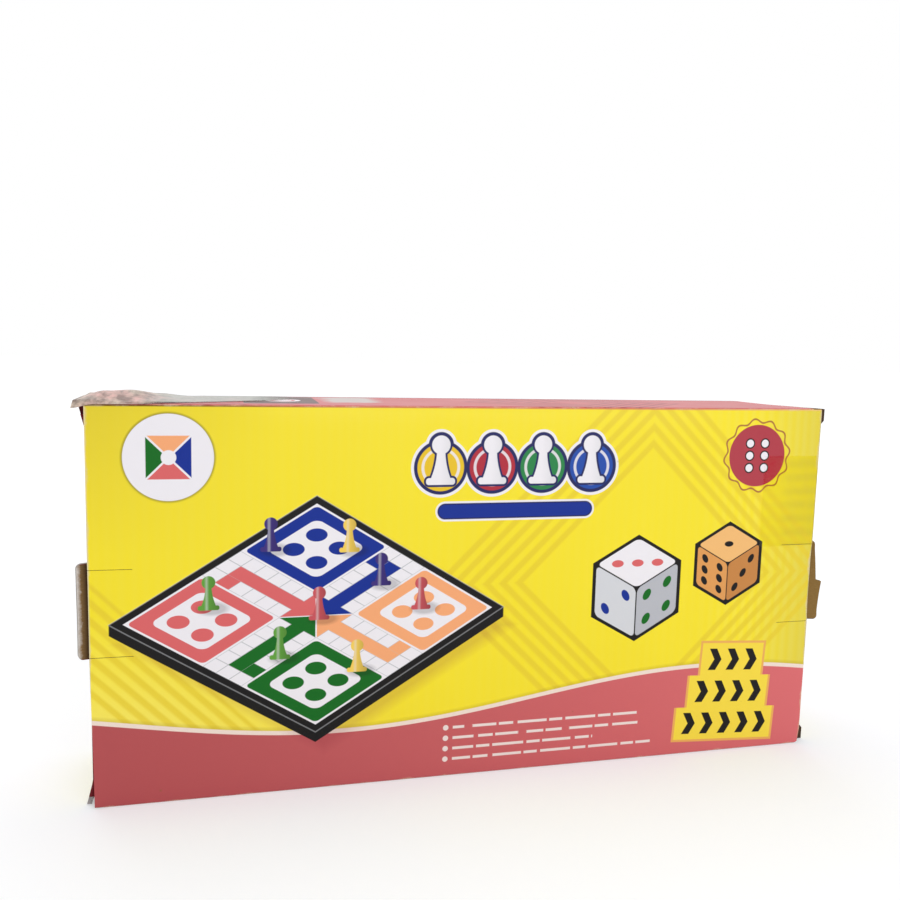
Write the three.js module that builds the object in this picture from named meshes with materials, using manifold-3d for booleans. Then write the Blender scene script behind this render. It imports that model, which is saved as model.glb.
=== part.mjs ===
// Carton for a folding magnetic ludo board, standing on its long narrow side, with the game inside.
// Millimetres, +Z up, +X along the length, the printed front faces -Y. The origin is the middle of
// the underside.
import * as THREE from "three";
import { mergeVertices } from "three/addons/utils/BufferGeometryUtils.js";
import Module from "manifold-3d";

const wasm = await Module();
wasm.setup();

// Carton board
const board = 1.5;
const gap = 0.3;
const glueFlapWidth = 14;

// End closures: flap, tuck tongue with its lock tab, dust flaps
const tongueLength = 10;
const tongueLean = 16;
const tongueCorner = 4;
const tongueInset = 3.5;
const lockTabBottom = 50.2;
const lockTabHeight = 31.4;
const lockTabReach = 4.3;
const lockTabCorner = 1.6;
const lockSlitDepth = 13.5;
const lockSlitWidth = 0.6;
const dustFlapLength = 36;
const dustFlapFrontMargin = 5.2;
const dustFlapRootMargin = 3;
const dustFlapTaper = 0.56;
const dustFlapCorner = 5;

// Folding board case: two hollow halves, play sheets outside
const caseLength = 250;
const caseHeight = 125;
const caseDepth = 34;
const caseCorner = 3;
const caseWall = 2;
const caseFloor = 1.6;
const playFrame = 5;
const steelThickness = 0.5;
const playSheetThickness = 0.4;
const glueLine = 0.2;

// Case hinge and magnet catch
const knuckleRadius = 2.4;
const knuckleLength = 8;
const pinRadius = 1;
const pinSides = 12;
const hingeInset = 15;
const catchMagnetRadius = 4;
const catchMagnetThickness = 3;
const catchBossMargin = 1.8;

// Tray, pawns, die, leaflet
const trayBossRoom = 0.35;
const pawnBaseRadius = 6;
const pawnHeight = 22.6;
const pawnHeadRadius = 3.6;
const pawnNeckRadius = 2.1;
const pawnBaseEdge = 2.6;
const pawnSkirtRadius = 4.7;
const pawnSkirtRise = 0.8;
const pawnMagnetRadius = 4.4;
const pawnMagnetThickness = 1.8;
const pawnsPerRow = 4;
const trayEdge = 14;
const pocketFloor = 0.7;
const dieSize = 12;
const dieBevel = 1;
const dieRib = 20;
const leafletWidth = 140;
const leafletHeadroom = 14.9;
const leafletThickness = 1;

// Room that the carton leaves round the case
const caseEndRoom = 2.7;
const caseHeadroom = 1.8;
const tongueRoom = 0.77;
const leafletRoom = 1.4;

const colours = {
  print: 0xf8e148,
  side: 0xc25a62,
  kraft: 0xa9845a,
  case: 0x17181a,
  steel: 0xb9bcc0,
  play: 0xf2f2ee,
  tray: 0xe9e9e6,
  magnet: 0x3a3a3c,
  paper: 0xf4f3ee,
  red: 0xc8202c,
  yellow: 0xf2c51d,
  green: 0x1f7a3d,
  blue: 0x2045a0,
};

const finishes = {
  board: { roughness: 0.45, metalness: 0 },
  raw: { roughness: 0.85, metalness: 0 },
  plastic: { roughness: 0.3, metalness: 0 },
  metal: { roughness: 0.35, metalness: 1 },
};

const root = new THREE.Group();

// Carton sizes, from the case that it holds: 262 long, 132.5 high and 45 deep
const lean = THREE.MathUtils.degToRad(tongueLean);
const tongueDepth = gap + board / 2 + tongueLength * Math.sin(lean) + (board / 2) * Math.cos(lean);
const caseBackClearance = gap + leafletThickness + leafletRoom;
const cartonLength = caseLength + 2 * (caseEndRoom + board + gap + board);
const cartonHeight = board + gap + caseHeight + knuckleRadius + caseHeadroom + board;
const cartonDepth = board + tongueDepth + tongueRoom + caseDepth + caseBackClearance + board;

// Derived places
const halfLength = cartonLength / 2;
const halfDepth = cartonDepth / 2;
const insideBottom = board;
const mitreGap = (gap / 2) * Math.SQRT2;
const flapAxisX = halfLength - board / 2;
const flapAxisY = halfDepth - board / 2;
const tongueAxisY = -halfDepth + board + gap + board / 2;
const dustAxisX = halfLength - board - gap - board / 2;
const sidePanelEnd = dustAxisX - board / 2 - gap;
const backPanelEnd = flapAxisX - board / 2 - gap;
const caseBack = halfDepth - board - caseBackClearance;
const caseMiddle = caseBack - caseDepth / 2;
const caseBottom = insideBottom + gap;
const caseTop = caseBottom + caseHeight;
const halfCaseDepth = (caseDepth - gap) / 2;
const recessDepth = steelThickness + playSheetThickness + 2 * glueLine;
const catchBossDepth = catchMagnetThickness + catchBossMargin;
const trayThickness = halfCaseDepth - recessDepth - caseFloor - gap - trayBossRoom - catchBossDepth;
const glueFlapTop = cartonHeight - board - gap;
const leafletHeight = glueFlapTop - glueFlapWidth - leafletHeadroom - (insideBottom + gap);

// A closed geometry as a solid for joins and cuts
function solid(geometry) {
  const bare = geometry.clone();
  bare.deleteAttribute("normal");
  bare.deleteAttribute("uv");
  const merged = mergeVertices(bare, 1e-4);
  return new wasm.Manifold(
    new wasm.Mesh({
      numProp: 3,
      vertProperties: new Float32Array(merged.attributes.position.array),
      triVerts: new Uint32Array(merged.index.array),
    }),
  );
}

// A solid back as a geometry
function geometryOf(manifold) {
  const mesh = manifold.getMesh();
  const geometry = new THREE.BufferGeometry();
  geometry.setAttribute("position", new THREE.BufferAttribute(new Float32Array(mesh.vertProperties), 3));
  geometry.setIndex(new THREE.BufferAttribute(new Uint32Array(mesh.triVerts), 1));
  geometry.computeVertexNormals();
  return geometry;
}

// A box between two corners
function boxBetween(low, high) {
  const geometry = new THREE.BoxGeometry(high[0] - low[0], high[1] - low[1], high[2] - low[2]);
  geometry.translate((low[0] + high[0]) / 2, (low[1] + high[1]) / 2, (low[2] + high[2]) / 2);
  return geometry;
}

// A shape from a list of corners
function polygon(corners) {
  return new THREE.Shape(corners.map(([u, v]) => new THREE.Vector2(u, v)));
}

// A rectangle between two corners with all four corners rounded
function roundedRectangle(u0, v0, u1, v1, radius) {
  const shape = new THREE.Shape();
  shape.moveTo(u0 + radius, v0);
  shape.lineTo(u1 - radius, v0);
  shape.absarc(u1 - radius, v0 + radius, radius, -Math.PI / 2, 0, false);
  shape.lineTo(u1, v1 - radius);
  shape.absarc(u1 - radius, v1 - radius, radius, 0, Math.PI / 2, false);
  shape.lineTo(u0 + radius, v1);
  shape.absarc(u0 + radius, v1 - radius, radius, Math.PI / 2, Math.PI, false);
  shape.lineTo(u0, v0 + radius);
  shape.absarc(u0 + radius, v0 + radius, radius, Math.PI, Math.PI * 1.5, false);
  return shape;
}

// Extrusions of a flat shape along Z, then turned so that it is pushed along X or Y instead
function extruded(shape, depth, curveSegments) {
  return new THREE.ExtrudeGeometry(shape, { depth, bevelEnabled: false, curveSegments });
}

function alongX(shape, from, to, segments = 4) {
  const geometry = extruded(shape, to - from, segments);
  const turn = new THREE.Matrix4().set(0, 0, 1, from, 1, 0, 0, 0, 0, 1, 0, 0, 0, 0, 0, 1);
  geometry.applyMatrix4(turn);
  return geometry;
}

function alongY(shape, from, to, segments = 4) {
  const geometry = extruded(shape, to - from, segments);
  const turn = new THREE.Matrix4().set(1, 0, 0, 0, 0, 0, -1, to, 0, 1, 0, 0, 0, 0, 0, 1);
  geometry.applyMatrix4(turn);
  return geometry;
}

function alongZ(shape, from, to, segments = 4) {
  const geometry = extruded(shape, to - from, segments);
  geometry.translate(0, 0, from);
  return geometry;
}

// A round bar along X or Y between two stations
function barX(radius, from, to, y, z, sides = 16) {
  const geometry = new THREE.CylinderGeometry(radius, radius, to - from, sides);
  geometry.rotateZ(Math.PI / 2);
  geometry.translate((from + to) / 2, y, z);
  return geometry;
}

function barY(radius, from, to, x, z, sides = 24) {
  const geometry = new THREE.CylinderGeometry(radius, radius, to - from, sides);
  geometry.translate(x, (from + to) / 2, z);
  return geometry;
}

// Section of a creased flap: a half-round edge on the crease at the origin, then a straight leaf
// that runs towards -v
function creasedSection(length) {
  const shape = new THREE.Shape();
  shape.moveTo(board / 2, 0);
  shape.absarc(0, 0, board / 2, 0, Math.PI, false);
  shape.lineTo(-board / 2, -length);
  shape.lineTo(board / 2, -length);
  shape.closePath();
  return shape;
}

function addPiece(parent, name, geometry, colour, finish) {
  const material = new THREE.MeshStandardMaterial({ color: colour, ...finish });
  const mesh = new THREE.Mesh(geometry, material);
  mesh.name = name;
  parent.add(mesh);
  return mesh;
}

// Four body panels of the carton, mitred along the long creases
function addCartonPanels() {
  const high = cartonHeight;
  const upright = (outer, inner) =>
    polygon([
      [outer, mitreGap],
      [outer, high - mitreGap],
      [inner, high - board - mitreGap],
      [inner, board + mitreGap],
    ]);
  const flat = (outer, inner) =>
    polygon([
      [-halfDepth + mitreGap, outer],
      [-halfDepth + board + mitreGap, inner],
      [halfDepth - board - mitreGap, inner],
      [halfDepth - mitreGap, outer],
    ]);

  let front = solid(alongX(upright(-halfDepth, -halfDepth + board), -halfLength, halfLength));
  for (const side of [-1, 1]) {
    for (const height of [lockTabBottom, lockTabBottom + lockTabHeight]) {
      const inner = side * (halfLength - lockSlitDepth);
      const outer = side * (halfLength + gap);
      const slit = boxBetween(
        [Math.min(inner, outer), -halfDepth - gap, height - lockSlitWidth / 2],
        [Math.max(inner, outer), -halfDepth + board + gap, height + lockSlitWidth / 2],
      );
      front = front.subtract(solid(slit));
    }
  }
  addPiece(root, "front_panel", geometryOf(front), colours.print, finishes.board);

  const back = alongX(upright(halfDepth, halfDepth - board), -backPanelEnd, backPanelEnd);
  addPiece(root, "back_panel", back, colours.print, finishes.board);

  const top = alongX(flat(high, high - board), -sidePanelEnd, sidePanelEnd);
  addPiece(root, "top_panel", top, colours.side, finishes.board);

  const bottom = alongX(flat(0, board), -sidePanelEnd, sidePanelEnd);
  addPiece(root, "bottom_panel", bottom, colours.side, finishes.board);

  const glueOuter = halfDepth - board - gap;
  const glue = alongX(
    polygon([
      [glueOuter, glueFlapTop],
      [glueOuter - board, glueFlapTop],
      [glueOuter - board, glueFlapTop - glueFlapWidth],
      [glueOuter, glueFlapTop - glueFlapWidth],
    ]),
    -sidePanelEnd + tongueLength,
    sidePanelEnd - tongueLength,
  );
  addPiece(root, "glue_flap", glue, colours.kraft, finishes.raw);
}

// End flap, hinged on the back panel: a leaf with a notch that the lock tab was cut from
function endFlapGeometry() {
  const leaf = flapAxisY - (tongueAxisY + board / 2 + gap);
  const body = solid(alongZ(creasedSection(leaf), gap, cartonHeight - gap));
  const notchDepth = lockTabReach + board / 2 + gap;
  const notch = boxBetween(
    [-board, tongueAxisY - flapAxisY - board, lockTabBottom - gap],
    [board, tongueAxisY - flapAxisY + notchDepth + gap, lockTabBottom + lockTabHeight + gap],
  );
  return geometryOf(body.subtract(solid(notch)));
}

// Tuck tongue with its lock tab, flat in the XZ plane about its crease, tongue towards -side
function tongueGeometry(side) {
  const low = tongueInset;
  const high = cartonHeight - tongueInset;
  const section = new THREE.Shape();
  section.moveTo(0, -board / 2);
  section.absarc(0, 0, board / 2, -Math.PI / 2, Math.PI / 2, side < 0);
  section.lineTo(-side * tongueLength, board / 2);
  section.lineTo(-side * tongueLength, -board / 2);
  section.closePath();
  const strip = solid(alongZ(section, low, high, 8));
  const outline = alongY(
    polygon([
      [side * board, low - gap],
      [-side * (tongueLength - tongueCorner), low - gap],
      [-side * (tongueLength + gap), low + tongueCorner],
      [-side * (tongueLength + gap), high - tongueCorner],
      [-side * (tongueLength - tongueCorner), high + gap],
      [side * board, high + gap],
    ]),
    -board,
    board,
  );
  const reach = lockTabReach + board / 2;
  const tab = alongY(
    roundedRectangle(
      Math.min(-side * tongueCorner, side * reach),
      lockTabBottom,
      Math.max(-side * tongueCorner, side * reach),
      lockTabBottom + lockTabHeight,
      lockTabCorner,
    ),
    -board / 2,
    board / 2,
  );
  return geometryOf(strip.intersect(solid(outline)).add(solid(tab)));
}

// Dust flap about its crease, hanging down: a shoulder over the tongue's end at the crease, then a
// leaf that is tapered on the hinge side so that the end flap can swing before it
function dustFlapGeometry() {
  const shoulderEdge = -halfDepth + board + gap;
  const shoulder = tongueInset - board / 2 - gap;
  const frontEdge = -halfDepth + board + dustFlapFrontMargin;
  const rootEdge = flapAxisY - dustFlapRootMargin;
  const tipEdge = rootEdge - dustFlapTaper * dustFlapLength;
  const leaf = solid(alongY(creasedSection(dustFlapLength), shoulderEdge, rootEdge));
  const outline = alongX(
    polygon([
      [shoulderEdge - gap, board],
      [rootEdge + gap, board],
      [rootEdge + gap, 0],
      [tipEdge, -dustFlapLength - gap],
      [frontEdge + dustFlapCorner, -dustFlapLength - gap],
      [frontEdge, -dustFlapLength + dustFlapCorner],
      [frontEdge, -shoulder],
      [shoulderEdge - gap, -shoulder],
    ]),
    -board,
    board,
  );
  return geometryOf(leaf.intersect(solid(outline)));
}

// Closures at both ends
function addEndClosures() {
  for (const [word, side] of [
    ["left", -1],
    ["right", 1],
  ]) {
    const flap = addPiece(root, `${word}_end_flap`, endFlapGeometry(), colours.side, finishes.board);
    flap.position.set(side * flapAxisX, flapAxisY, 0);

    const crease = new THREE.Group();
    crease.position.set(side * flapAxisX, tongueAxisY, 0);
    crease.rotation.z = -side * lean;
    root.add(crease);
    addPiece(crease, `${word}_tuck_tongue`, tongueGeometry(side), colours.kraft, finishes.raw);

    const topDust = addPiece(root, `${word}_top_dust_flap`, dustFlapGeometry(), colours.side, finishes.board);
    topDust.position.set(side * dustAxisX, 0, cartonHeight - board / 2);

    const lower = dustFlapGeometry();
    lower.scale(1, 1, -1);
    const index = lower.index.array;
    for (let i = 0; i < index.length; i += 3) {
      [index[i + 1], index[i + 2]] = [index[i + 2], index[i + 1]];
    }
    lower.computeVertexNormals();
    const bottomDust = addPiece(root, `${word}_bottom_dust_flap`, lower, colours.side, finishes.board);
    bottomDust.position.set(side * dustAxisX, 0, board / 2);
  }
}

// Stretches along X of the hinge knuckles: the outer two of each three belong to the back half
function knuckleStations() {
  const stations = [];
  const span = 3 * knuckleLength + 2 * gap;
  for (const side of [-1, 1]) {
    const start = side < 0 ? -caseLength / 2 + hingeInset : caseLength / 2 - hingeInset - span;
    for (let i = 0; i < 3; i += 1) {
      const from = start + i * (knuckleLength + gap);
      stations.push({ from, to: from + knuckleLength, half: i === 1 ? "front" : "back" });
    }
  }
  return stations;
}

// One half of the folding board: a shallow tray whose outer face is recessed for the play sheet
function caseHalf(half) {
  const way = half === "back" ? 1 : -1;
  const rim = caseMiddle + (way * gap) / 2;
  const outer = rim + way * halfCaseDepth;
  const floorInside = outer - way * (recessDepth + caseFloor);
  const span = (a, b) => [Math.min(a, b), Math.max(a, b)];
  const edge = caseLength / 2;
  const bodyShape = roundedRectangle(-edge, caseBottom, edge, caseTop, caseCorner);
  let shell = solid(alongY(bodyShape, ...span(rim, outer)));

  const hollow = roundedRectangle(
    -edge + caseWall,
    caseBottom + caseWall,
    edge - caseWall,
    caseTop - caseWall,
    caseCorner - caseWall,
  );
  shell = shell.subtract(solid(alongY(hollow, ...span(rim - way, floorInside))));

  const recess = roundedRectangle(
    -edge + playFrame,
    caseBottom + playFrame,
    edge - playFrame,
    caseTop - playFrame,
    caseCorner / 2,
  );
  shell = shell.subtract(solid(alongY(recess, ...span(outer - way * recessDepth, outer + way))));

  const bossReach = catchMagnetRadius + catchBossMargin;
  const bossCentre = caseBottom + caseWall + bossReach - catchBossMargin / 2;
  const [bossLow, bossHigh] = span(rim, rim + way * catchBossDepth);
  const boss = boxBetween(
    [-bossReach, bossLow, caseBottom + caseWall / 2],
    [bossReach, bossHigh, bossCentre + bossReach],
  );
  shell = shell.add(solid(boss));
  const pocket = span(rim - way, rim + way * (catchMagnetThickness + 2 * gap));
  shell = shell.subtract(solid(barY(catchMagnetRadius + gap, ...pocket, 0, bossCentre)));

  for (const station of knuckleStations()) {
    if (station.half === half) {
      shell = shell.add(solid(barX(knuckleRadius, station.from, station.to, caseMiddle, caseTop)));
    } else {
      const room = barX(knuckleRadius + gap, station.from - gap, station.to + gap, caseMiddle, caseTop);
      shell = shell.subtract(solid(room));
    }
  }
  for (const station of knuckleStations()) {
    const from = station.from - gap / 2;
    const to = station.to + gap / 2;
    shell = shell.subtract(solid(barX(pinRadius + gap, from, to, caseMiddle, caseTop, pinSides)));
  }
  return { geometry: geometryOf(shell), rim, outer, way, bossCentre };
}

// The folding board case with its sheets, hinge pins and catch magnets
function addCase() {
  for (const half of ["back", "front"]) {
    const made = caseHalf(half);
    const { way } = made;
    addPiece(root, `case_${half}_half`, made.geometry, colours.case, finishes.plastic);

    const inset = playFrame + gap;
    const sheetShape = () =>
      roundedRectangle(
        -caseLength / 2 + inset,
        caseBottom + inset,
        caseLength / 2 - inset,
        caseTop - inset,
        caseCorner / 2,
      );
    const steelInner = made.outer - way * (recessDepth - glueLine);
    const steelOuter = steelInner + way * steelThickness;
    const playInner = steelOuter + way * glueLine;
    const playOuter = playInner + way * playSheetThickness;
    const steel = alongY(sheetShape(), Math.min(steelInner, steelOuter), Math.max(steelInner, steelOuter));
    addPiece(root, `steel_sheet_${half}`, steel, colours.steel, finishes.metal);
    const play = alongY(sheetShape(), Math.min(playInner, playOuter), Math.max(playInner, playOuter));
    addPiece(root, `play_sheet_${half}`, play, colours.play, finishes.board);

    const magnetNear = made.rim + way * gap;
    const magnetFar = magnetNear + way * catchMagnetThickness;
    const magnet = barY(
      catchMagnetRadius,
      Math.min(magnetNear, magnetFar),
      Math.max(magnetNear, magnetFar),
      0,
      made.bossCentre,
    );
    addPiece(root, `catch_magnet_${half}`, magnet, colours.magnet, finishes.metal);
  }

  const pinLength = 3 * knuckleLength + 2 * gap;
  for (const [word, side] of [
    ["left", -1],
    ["right", 1],
  ]) {
    const from = side < 0 ? -caseLength / 2 + hingeInset : caseLength / 2 - hingeInset - pinLength;
    const pin = barX(pinRadius, from, from + pinLength, caseMiddle, caseTop, pinSides);
    addPiece(root, `hinge_pin_${word}`, pin, colours.steel, finishes.metal);
  }
}

// A pawn about its own upright axis, with a recess under the base for its magnet
function pawnGeometry() {
  const recess = pawnMagnetThickness + gap;
  const bore = pawnMagnetRadius + gap;
  const headCentre = pawnHeight - pawnHeadRadius;
  const neckHeight = headCentre - Math.sqrt(pawnHeadRadius ** 2 - pawnNeckRadius ** 2);
  const profile = [
    new THREE.Vector2(0, recess),
    new THREE.Vector2(bore, recess),
    new THREE.Vector2(bore, 0),
    new THREE.Vector2(pawnBaseRadius, 0),
    new THREE.Vector2(pawnBaseRadius, pawnBaseEdge),
  ];
  const skirtHeight = pawnBaseEdge + pawnSkirtRise;
  const skirtSteps = 4;
  for (let i = 0; i <= skirtSteps; i += 1) {
    const along = i / skirtSteps;
    const radius = pawnNeckRadius + (pawnSkirtRadius - pawnNeckRadius) * (1 - along) ** 2;
    profile.push(new THREE.Vector2(radius, skirtHeight + (neckHeight - skirtHeight) * along));
  }
  const neckAngle = Math.asin(pawnNeckRadius / pawnHeadRadius);
  const headSteps = 5;
  for (let i = 1; i <= headSteps; i += 1) {
    const angle = neckAngle + ((Math.PI - neckAngle) * i) / headSteps;
    const radius = i === headSteps ? 0 : pawnHeadRadius * Math.sin(angle);
    profile.push(new THREE.Vector2(radius, headCentre - pawnHeadRadius * Math.cos(angle)));
  }
  return new THREE.LatheGeometry(profile, 16);
}

// Places in the tray: four rows of pawns, one colour each, and the die beside them
const trayReach = caseLength / 2 - caseWall - gap;
const trayMiddle = (caseBottom + caseTop) / 2;
const trayHalfHeight = caseHeight / 2 - caseWall - gap;
const diePlace = trayReach - trayEdge - dieSize / 2;

function pawnPlaces() {
  const first = -trayReach + trayEdge + pawnHeight / 2;
  const last = diePlace - dieSize / 2 - dieRib - pawnHeight / 2;
  const pitchX = (last - first) / (pawnsPerRow - 1);
  const top = trayHalfHeight - trayEdge - pawnBaseRadius;
  const rows = ["red", "yellow", "green", "blue"];
  const pitchZ = (2 * top) / (rows.length - 1);
  return rows.flatMap((colour, row) =>
    Array.from({ length: pawnsPerRow }, (_, column) => ({
      colour,
      number: column + 1,
      x: first + column * pitchX,
      z: trayMiddle + top - row * pitchZ,
    })),
  );
}

// Tray in the back half, with a pocket for each pawn and one for the die
function addTrayAndPieces() {
  const floorInside = caseBack - recessDepth - caseFloor;
  const trayBack = floorInside - gap;
  const trayFront = trayBack - trayThickness;
  const pocketRadius = pawnBaseRadius + gap;
  const axisY = trayBack - pocketFloor - pocketRadius;
  let tray = solid(
    boxBetween(
      [-trayReach, trayFront, trayMiddle - trayHalfHeight],
      [trayReach, trayBack, trayMiddle + trayHalfHeight],
    ),
  );
  for (const place of pawnPlaces()) {
    const from = place.x - pawnHeight / 2 - gap;
    const to = place.x + pawnHeight / 2 + gap;
    tray = tray.subtract(solid(barX(pocketRadius, from, to, axisY, place.z, 24)));
    const mouth = boxBetween(
      [from, trayFront - gap, place.z - pocketRadius],
      [to, axisY, place.z + pocketRadius],
    );
    tray = tray.subtract(solid(mouth));
  }
  const dieRoom = dieSize / 2 + gap;
  const dieBack = trayBack - pocketFloor - gap;
  const diePocket = boxBetween(
    [diePlace - dieRoom, trayFront - gap, trayMiddle - dieRoom],
    [diePlace + dieRoom, dieBack + gap, trayMiddle + dieRoom],
  );
  tray = tray.subtract(solid(diePocket));
  addPiece(root, "pawn_tray", geometryOf(tray), colours.tray, finishes.board);

  for (const place of pawnPlaces()) {
    const lying = new THREE.Group();
    lying.position.set(place.x - pawnHeight / 2, axisY, place.z);
    lying.rotation.z = -Math.PI / 2;
    root.add(lying);
    const name = `${place.colour}_pawn_${place.number}`;
    addPiece(lying, name, pawnGeometry(), colours[place.colour], finishes.plastic);
    const disc = new THREE.CylinderGeometry(pawnMagnetRadius, pawnMagnetRadius, pawnMagnetThickness, 16);
    disc.translate(0, pawnMagnetThickness / 2, 0);
    addPiece(lying, `${name}_magnet`, disc, colours.magnet, finishes.metal);
  }

  const core = dieSize - 2 * dieBevel;
  const face = polygon([
    [-core / 2, -core / 2],
    [core / 2, -core / 2],
    [core / 2, core / 2],
    [-core / 2, core / 2],
  ]);
  const die = new THREE.ExtrudeGeometry(face, {
    depth: core,
    bevelEnabled: true,
    bevelSize: dieBevel,
    bevelThickness: dieBevel,
    bevelSegments: 2,
  });
  die.translate(diePlace, dieBack - dieSize / 2, trayMiddle - core / 2);
  addPiece(root, "die", die, colours.play, finishes.plastic);
}

// Folded instruction leaflet behind the case
function addLeaflet() {
  const front = caseBack + gap;
  const leaflet = boxBetween(
    [-leafletWidth / 2, front, insideBottom + gap],
    [leafletWidth / 2, front + leafletThickness, insideBottom + gap + leafletHeight],
  );
  addPiece(root, "leaflet", leaflet, colours.paper, finishes.raw);
}

addCartonPanels();
addEndClosures();
addCase();
addTrayAndPieces();
addLeaflet();

export default root;
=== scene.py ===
"""A folding ludo board's carton, standing on its long side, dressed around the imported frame.

The carton is thin corrugated board: a glossy printed sheet outside, flutes, kraft liner inside.
Lengths are metres unless a name ends in _mm; prints are laid out in millimetres on each panel.
"""
import math

import bpy
import numpy as np
from mathutils import Matrix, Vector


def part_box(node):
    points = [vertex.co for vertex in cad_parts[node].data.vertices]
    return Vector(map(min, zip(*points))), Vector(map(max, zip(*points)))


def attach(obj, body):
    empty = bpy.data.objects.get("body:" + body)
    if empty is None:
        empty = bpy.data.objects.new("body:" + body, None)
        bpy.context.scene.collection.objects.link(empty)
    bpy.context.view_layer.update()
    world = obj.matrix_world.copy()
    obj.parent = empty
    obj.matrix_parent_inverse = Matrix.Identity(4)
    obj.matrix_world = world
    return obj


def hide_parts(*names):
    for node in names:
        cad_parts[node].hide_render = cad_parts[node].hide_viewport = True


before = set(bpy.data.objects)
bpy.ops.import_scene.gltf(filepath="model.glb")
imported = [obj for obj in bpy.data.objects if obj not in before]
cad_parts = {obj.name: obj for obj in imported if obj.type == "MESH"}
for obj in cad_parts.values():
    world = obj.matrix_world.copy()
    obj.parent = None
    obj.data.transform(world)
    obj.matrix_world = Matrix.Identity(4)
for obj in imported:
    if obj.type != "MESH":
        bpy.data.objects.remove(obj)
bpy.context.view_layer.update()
MM = 0.001


def corners(box):
    """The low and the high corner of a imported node's box."""
    return [np.array(corner) for corner in box]


# Sizes from the frame: the carton
FRONT_LOW, FRONT_HIGH = corners(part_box("front_panel"))
TOP_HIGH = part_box("top_panel")[1]
BOARD = float(FRONT_HIGH[1] - FRONT_LOW[1])
HALF_BOARD = BOARD / 2
HALF_LENGTH = float(FRONT_HIGH[0])
HALF_DEPTH = -float(FRONT_LOW[1])
HEIGHT = float(TOP_HIGH[2])
MID_HEIGHT = HEIGHT / 2
BACK_END = float(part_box("back_panel")[1][0])
SIDE_END = float(TOP_HIGH[0])

# Sizes from the frame: the game inside
PIN_LOW, PIN_HIGH = corners(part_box("hinge_pin_left"))
CASE_TOP = float(PIN_HIGH[2] + PIN_LOW[2]) / 2
PLAY_HALF = float(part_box("play_sheet_front")[1][0])
PAWN_LOW, PAWN_HIGH = corners(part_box("red_pawn_1"))
PAWN_HEIGHT = float(PAWN_HIGH[0] - PAWN_LOW[0])

# Board: the gap between leaves as packed, the smaller one that shows, creases and flutes
GAP = 0.3 * MM
CLOSED_GAP = 0.06 * MM
CREASE_RADIUS = 1.0 * MM
FLUTE_MM = 3.2

# Lock tabs, slits and the closures' creases
SLIT_DEPTH = 13.5 * MM
SLIT_WIDTH = 0.16 * MM
LEFT_SLITS = (50.9 * MM, 79.6 * MM)
RIGHT_SLITS = (49.9 * MM, 80.4 * MM)
TAB_LOW, TAB_HIGH = 50.2 * MM, 81.6 * MM
TAB_HEIGHT = TAB_HIGH - TAB_LOW
TAB_REACH = 4.3 * MM
TAB_CORNER = 1.6 * MM
TONGUE_LOW, TONGUE_HIGH = (float(corner[2]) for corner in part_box("right_tuck_tongue"))
TONGUE_LENGTH = 10 * MM
TONGUE_LEAN = math.radians(16)
TONGUE_CORNER = 4 * MM
FLAP_X = HALF_LENGTH - HALF_BOARD
FLAP_Y = HALF_DEPTH - HALF_BOARD
TONGUE_Y = -HALF_DEPTH + BOARD + GAP + HALF_BOARD
DUST_X = HALF_LENGTH - BOARD - GAP - HALF_BOARD
DUST_LENGTH = 36 * MM
DUST_SHOULDER = 2.45 * MM
DUST_CORNER = 5 * MM
DUST_SHOULDER_Y = float(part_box("right_top_dust_flap")[0][1])
DUST_FRONT_Y = -HALF_DEPTH + BOARD + 5.2 * MM
DUST_ROOT_Y = FLAP_Y - 3 * MM
DUST_TAPER = 0.56

# Handling wear of the panels, and the stretches over which it comes and goes
PRESSED = 0.9 * MM
PRESSED_FROM = 120 * MM
LIFTED = 0.5 * MM
LIFT_RISES = (94 * MM, 110 * MM)
LIFT_FALLS = (116 * MM, 127.5 * MM)
CRUMPLED = 0.35 * MM
CRUMPLE_WIDTH = 3 * MM
BOW = 0.35 * MM
BEHIND_FRONT = -HALF_DEPTH + 3 * MM
PUSHED = 0.5 * MM
PUSH_FADE = 4 * MM
WORN_CORNER = 2.8 * MM
DRAWN_IN = 0.7 * MM
DRAWN_LENGTH, DRAWN_HEIGHT = 30 * MM, 60 * MM

# Front corners of the end closures, which stand proud: how tall, how far out and how far back
LEFT_TIP_TALL, LEFT_TIP_OUT = 8.6 * MM, 2.2 * MM
RIGHT_TIP_TALL, RIGHT_TIP_OUT = 6.2 * MM, 3.6 * MM
TIP_STEP = 1.5 * MM
TIP_FULL_Y, TIP_END_Y = -HALF_DEPTH + 5 * MM, -HALF_DEPTH + 24 * MM
TIP_ROOT_X = HALF_LENGTH - 12 * MM
TONGUE_TIP_SHARE = {-1: 1.0, 1: 0.5}

# Lock tabs: both curl, the left one is crushed, and the right one is torn across, pulled out below
# the tear and bent back above it
CURLED = 0.5 * MM
CRUSHED = 0.6 * MM
TEAR_LOW, TEAR_HIGH = 65.1 * MM, 65.8 * MM
PULLED_LOW, PULLED_HIGH = 0.6 * MM, 1.9 * MM
BEND_START = 63.5 * MM
BENT_BACK = 2.3 * MM

# Clear film: on the front's right end, and crumpled on the top's left end
SEAL_START, SEAL_LOW, SEAL_HIGH = 107.8 * MM, 80 * MM, 114.6 * MM
SEAL_LIFT, SEAL_RIPPLE = 0.06 * MM, 0.03 * MM
FILM_OUTER, FILM_INNER, FILM_REAR = 134.8 * MM, 64 * MM, 20 * MM
FILM_THICKNESS = 0.05 * MM
FILM_LIFT = 0.12 * MM
FILM_FOLDS = 0.2 * MM
FILM_PUFF = 1.9 * MM
FILM_DROOP = 1.3 * MM
FILM_OVER_FRONT = 0.25 * MM

# Edges of a mesh are sharp from this angle on
SHARP_DEGREES = 35.0

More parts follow.
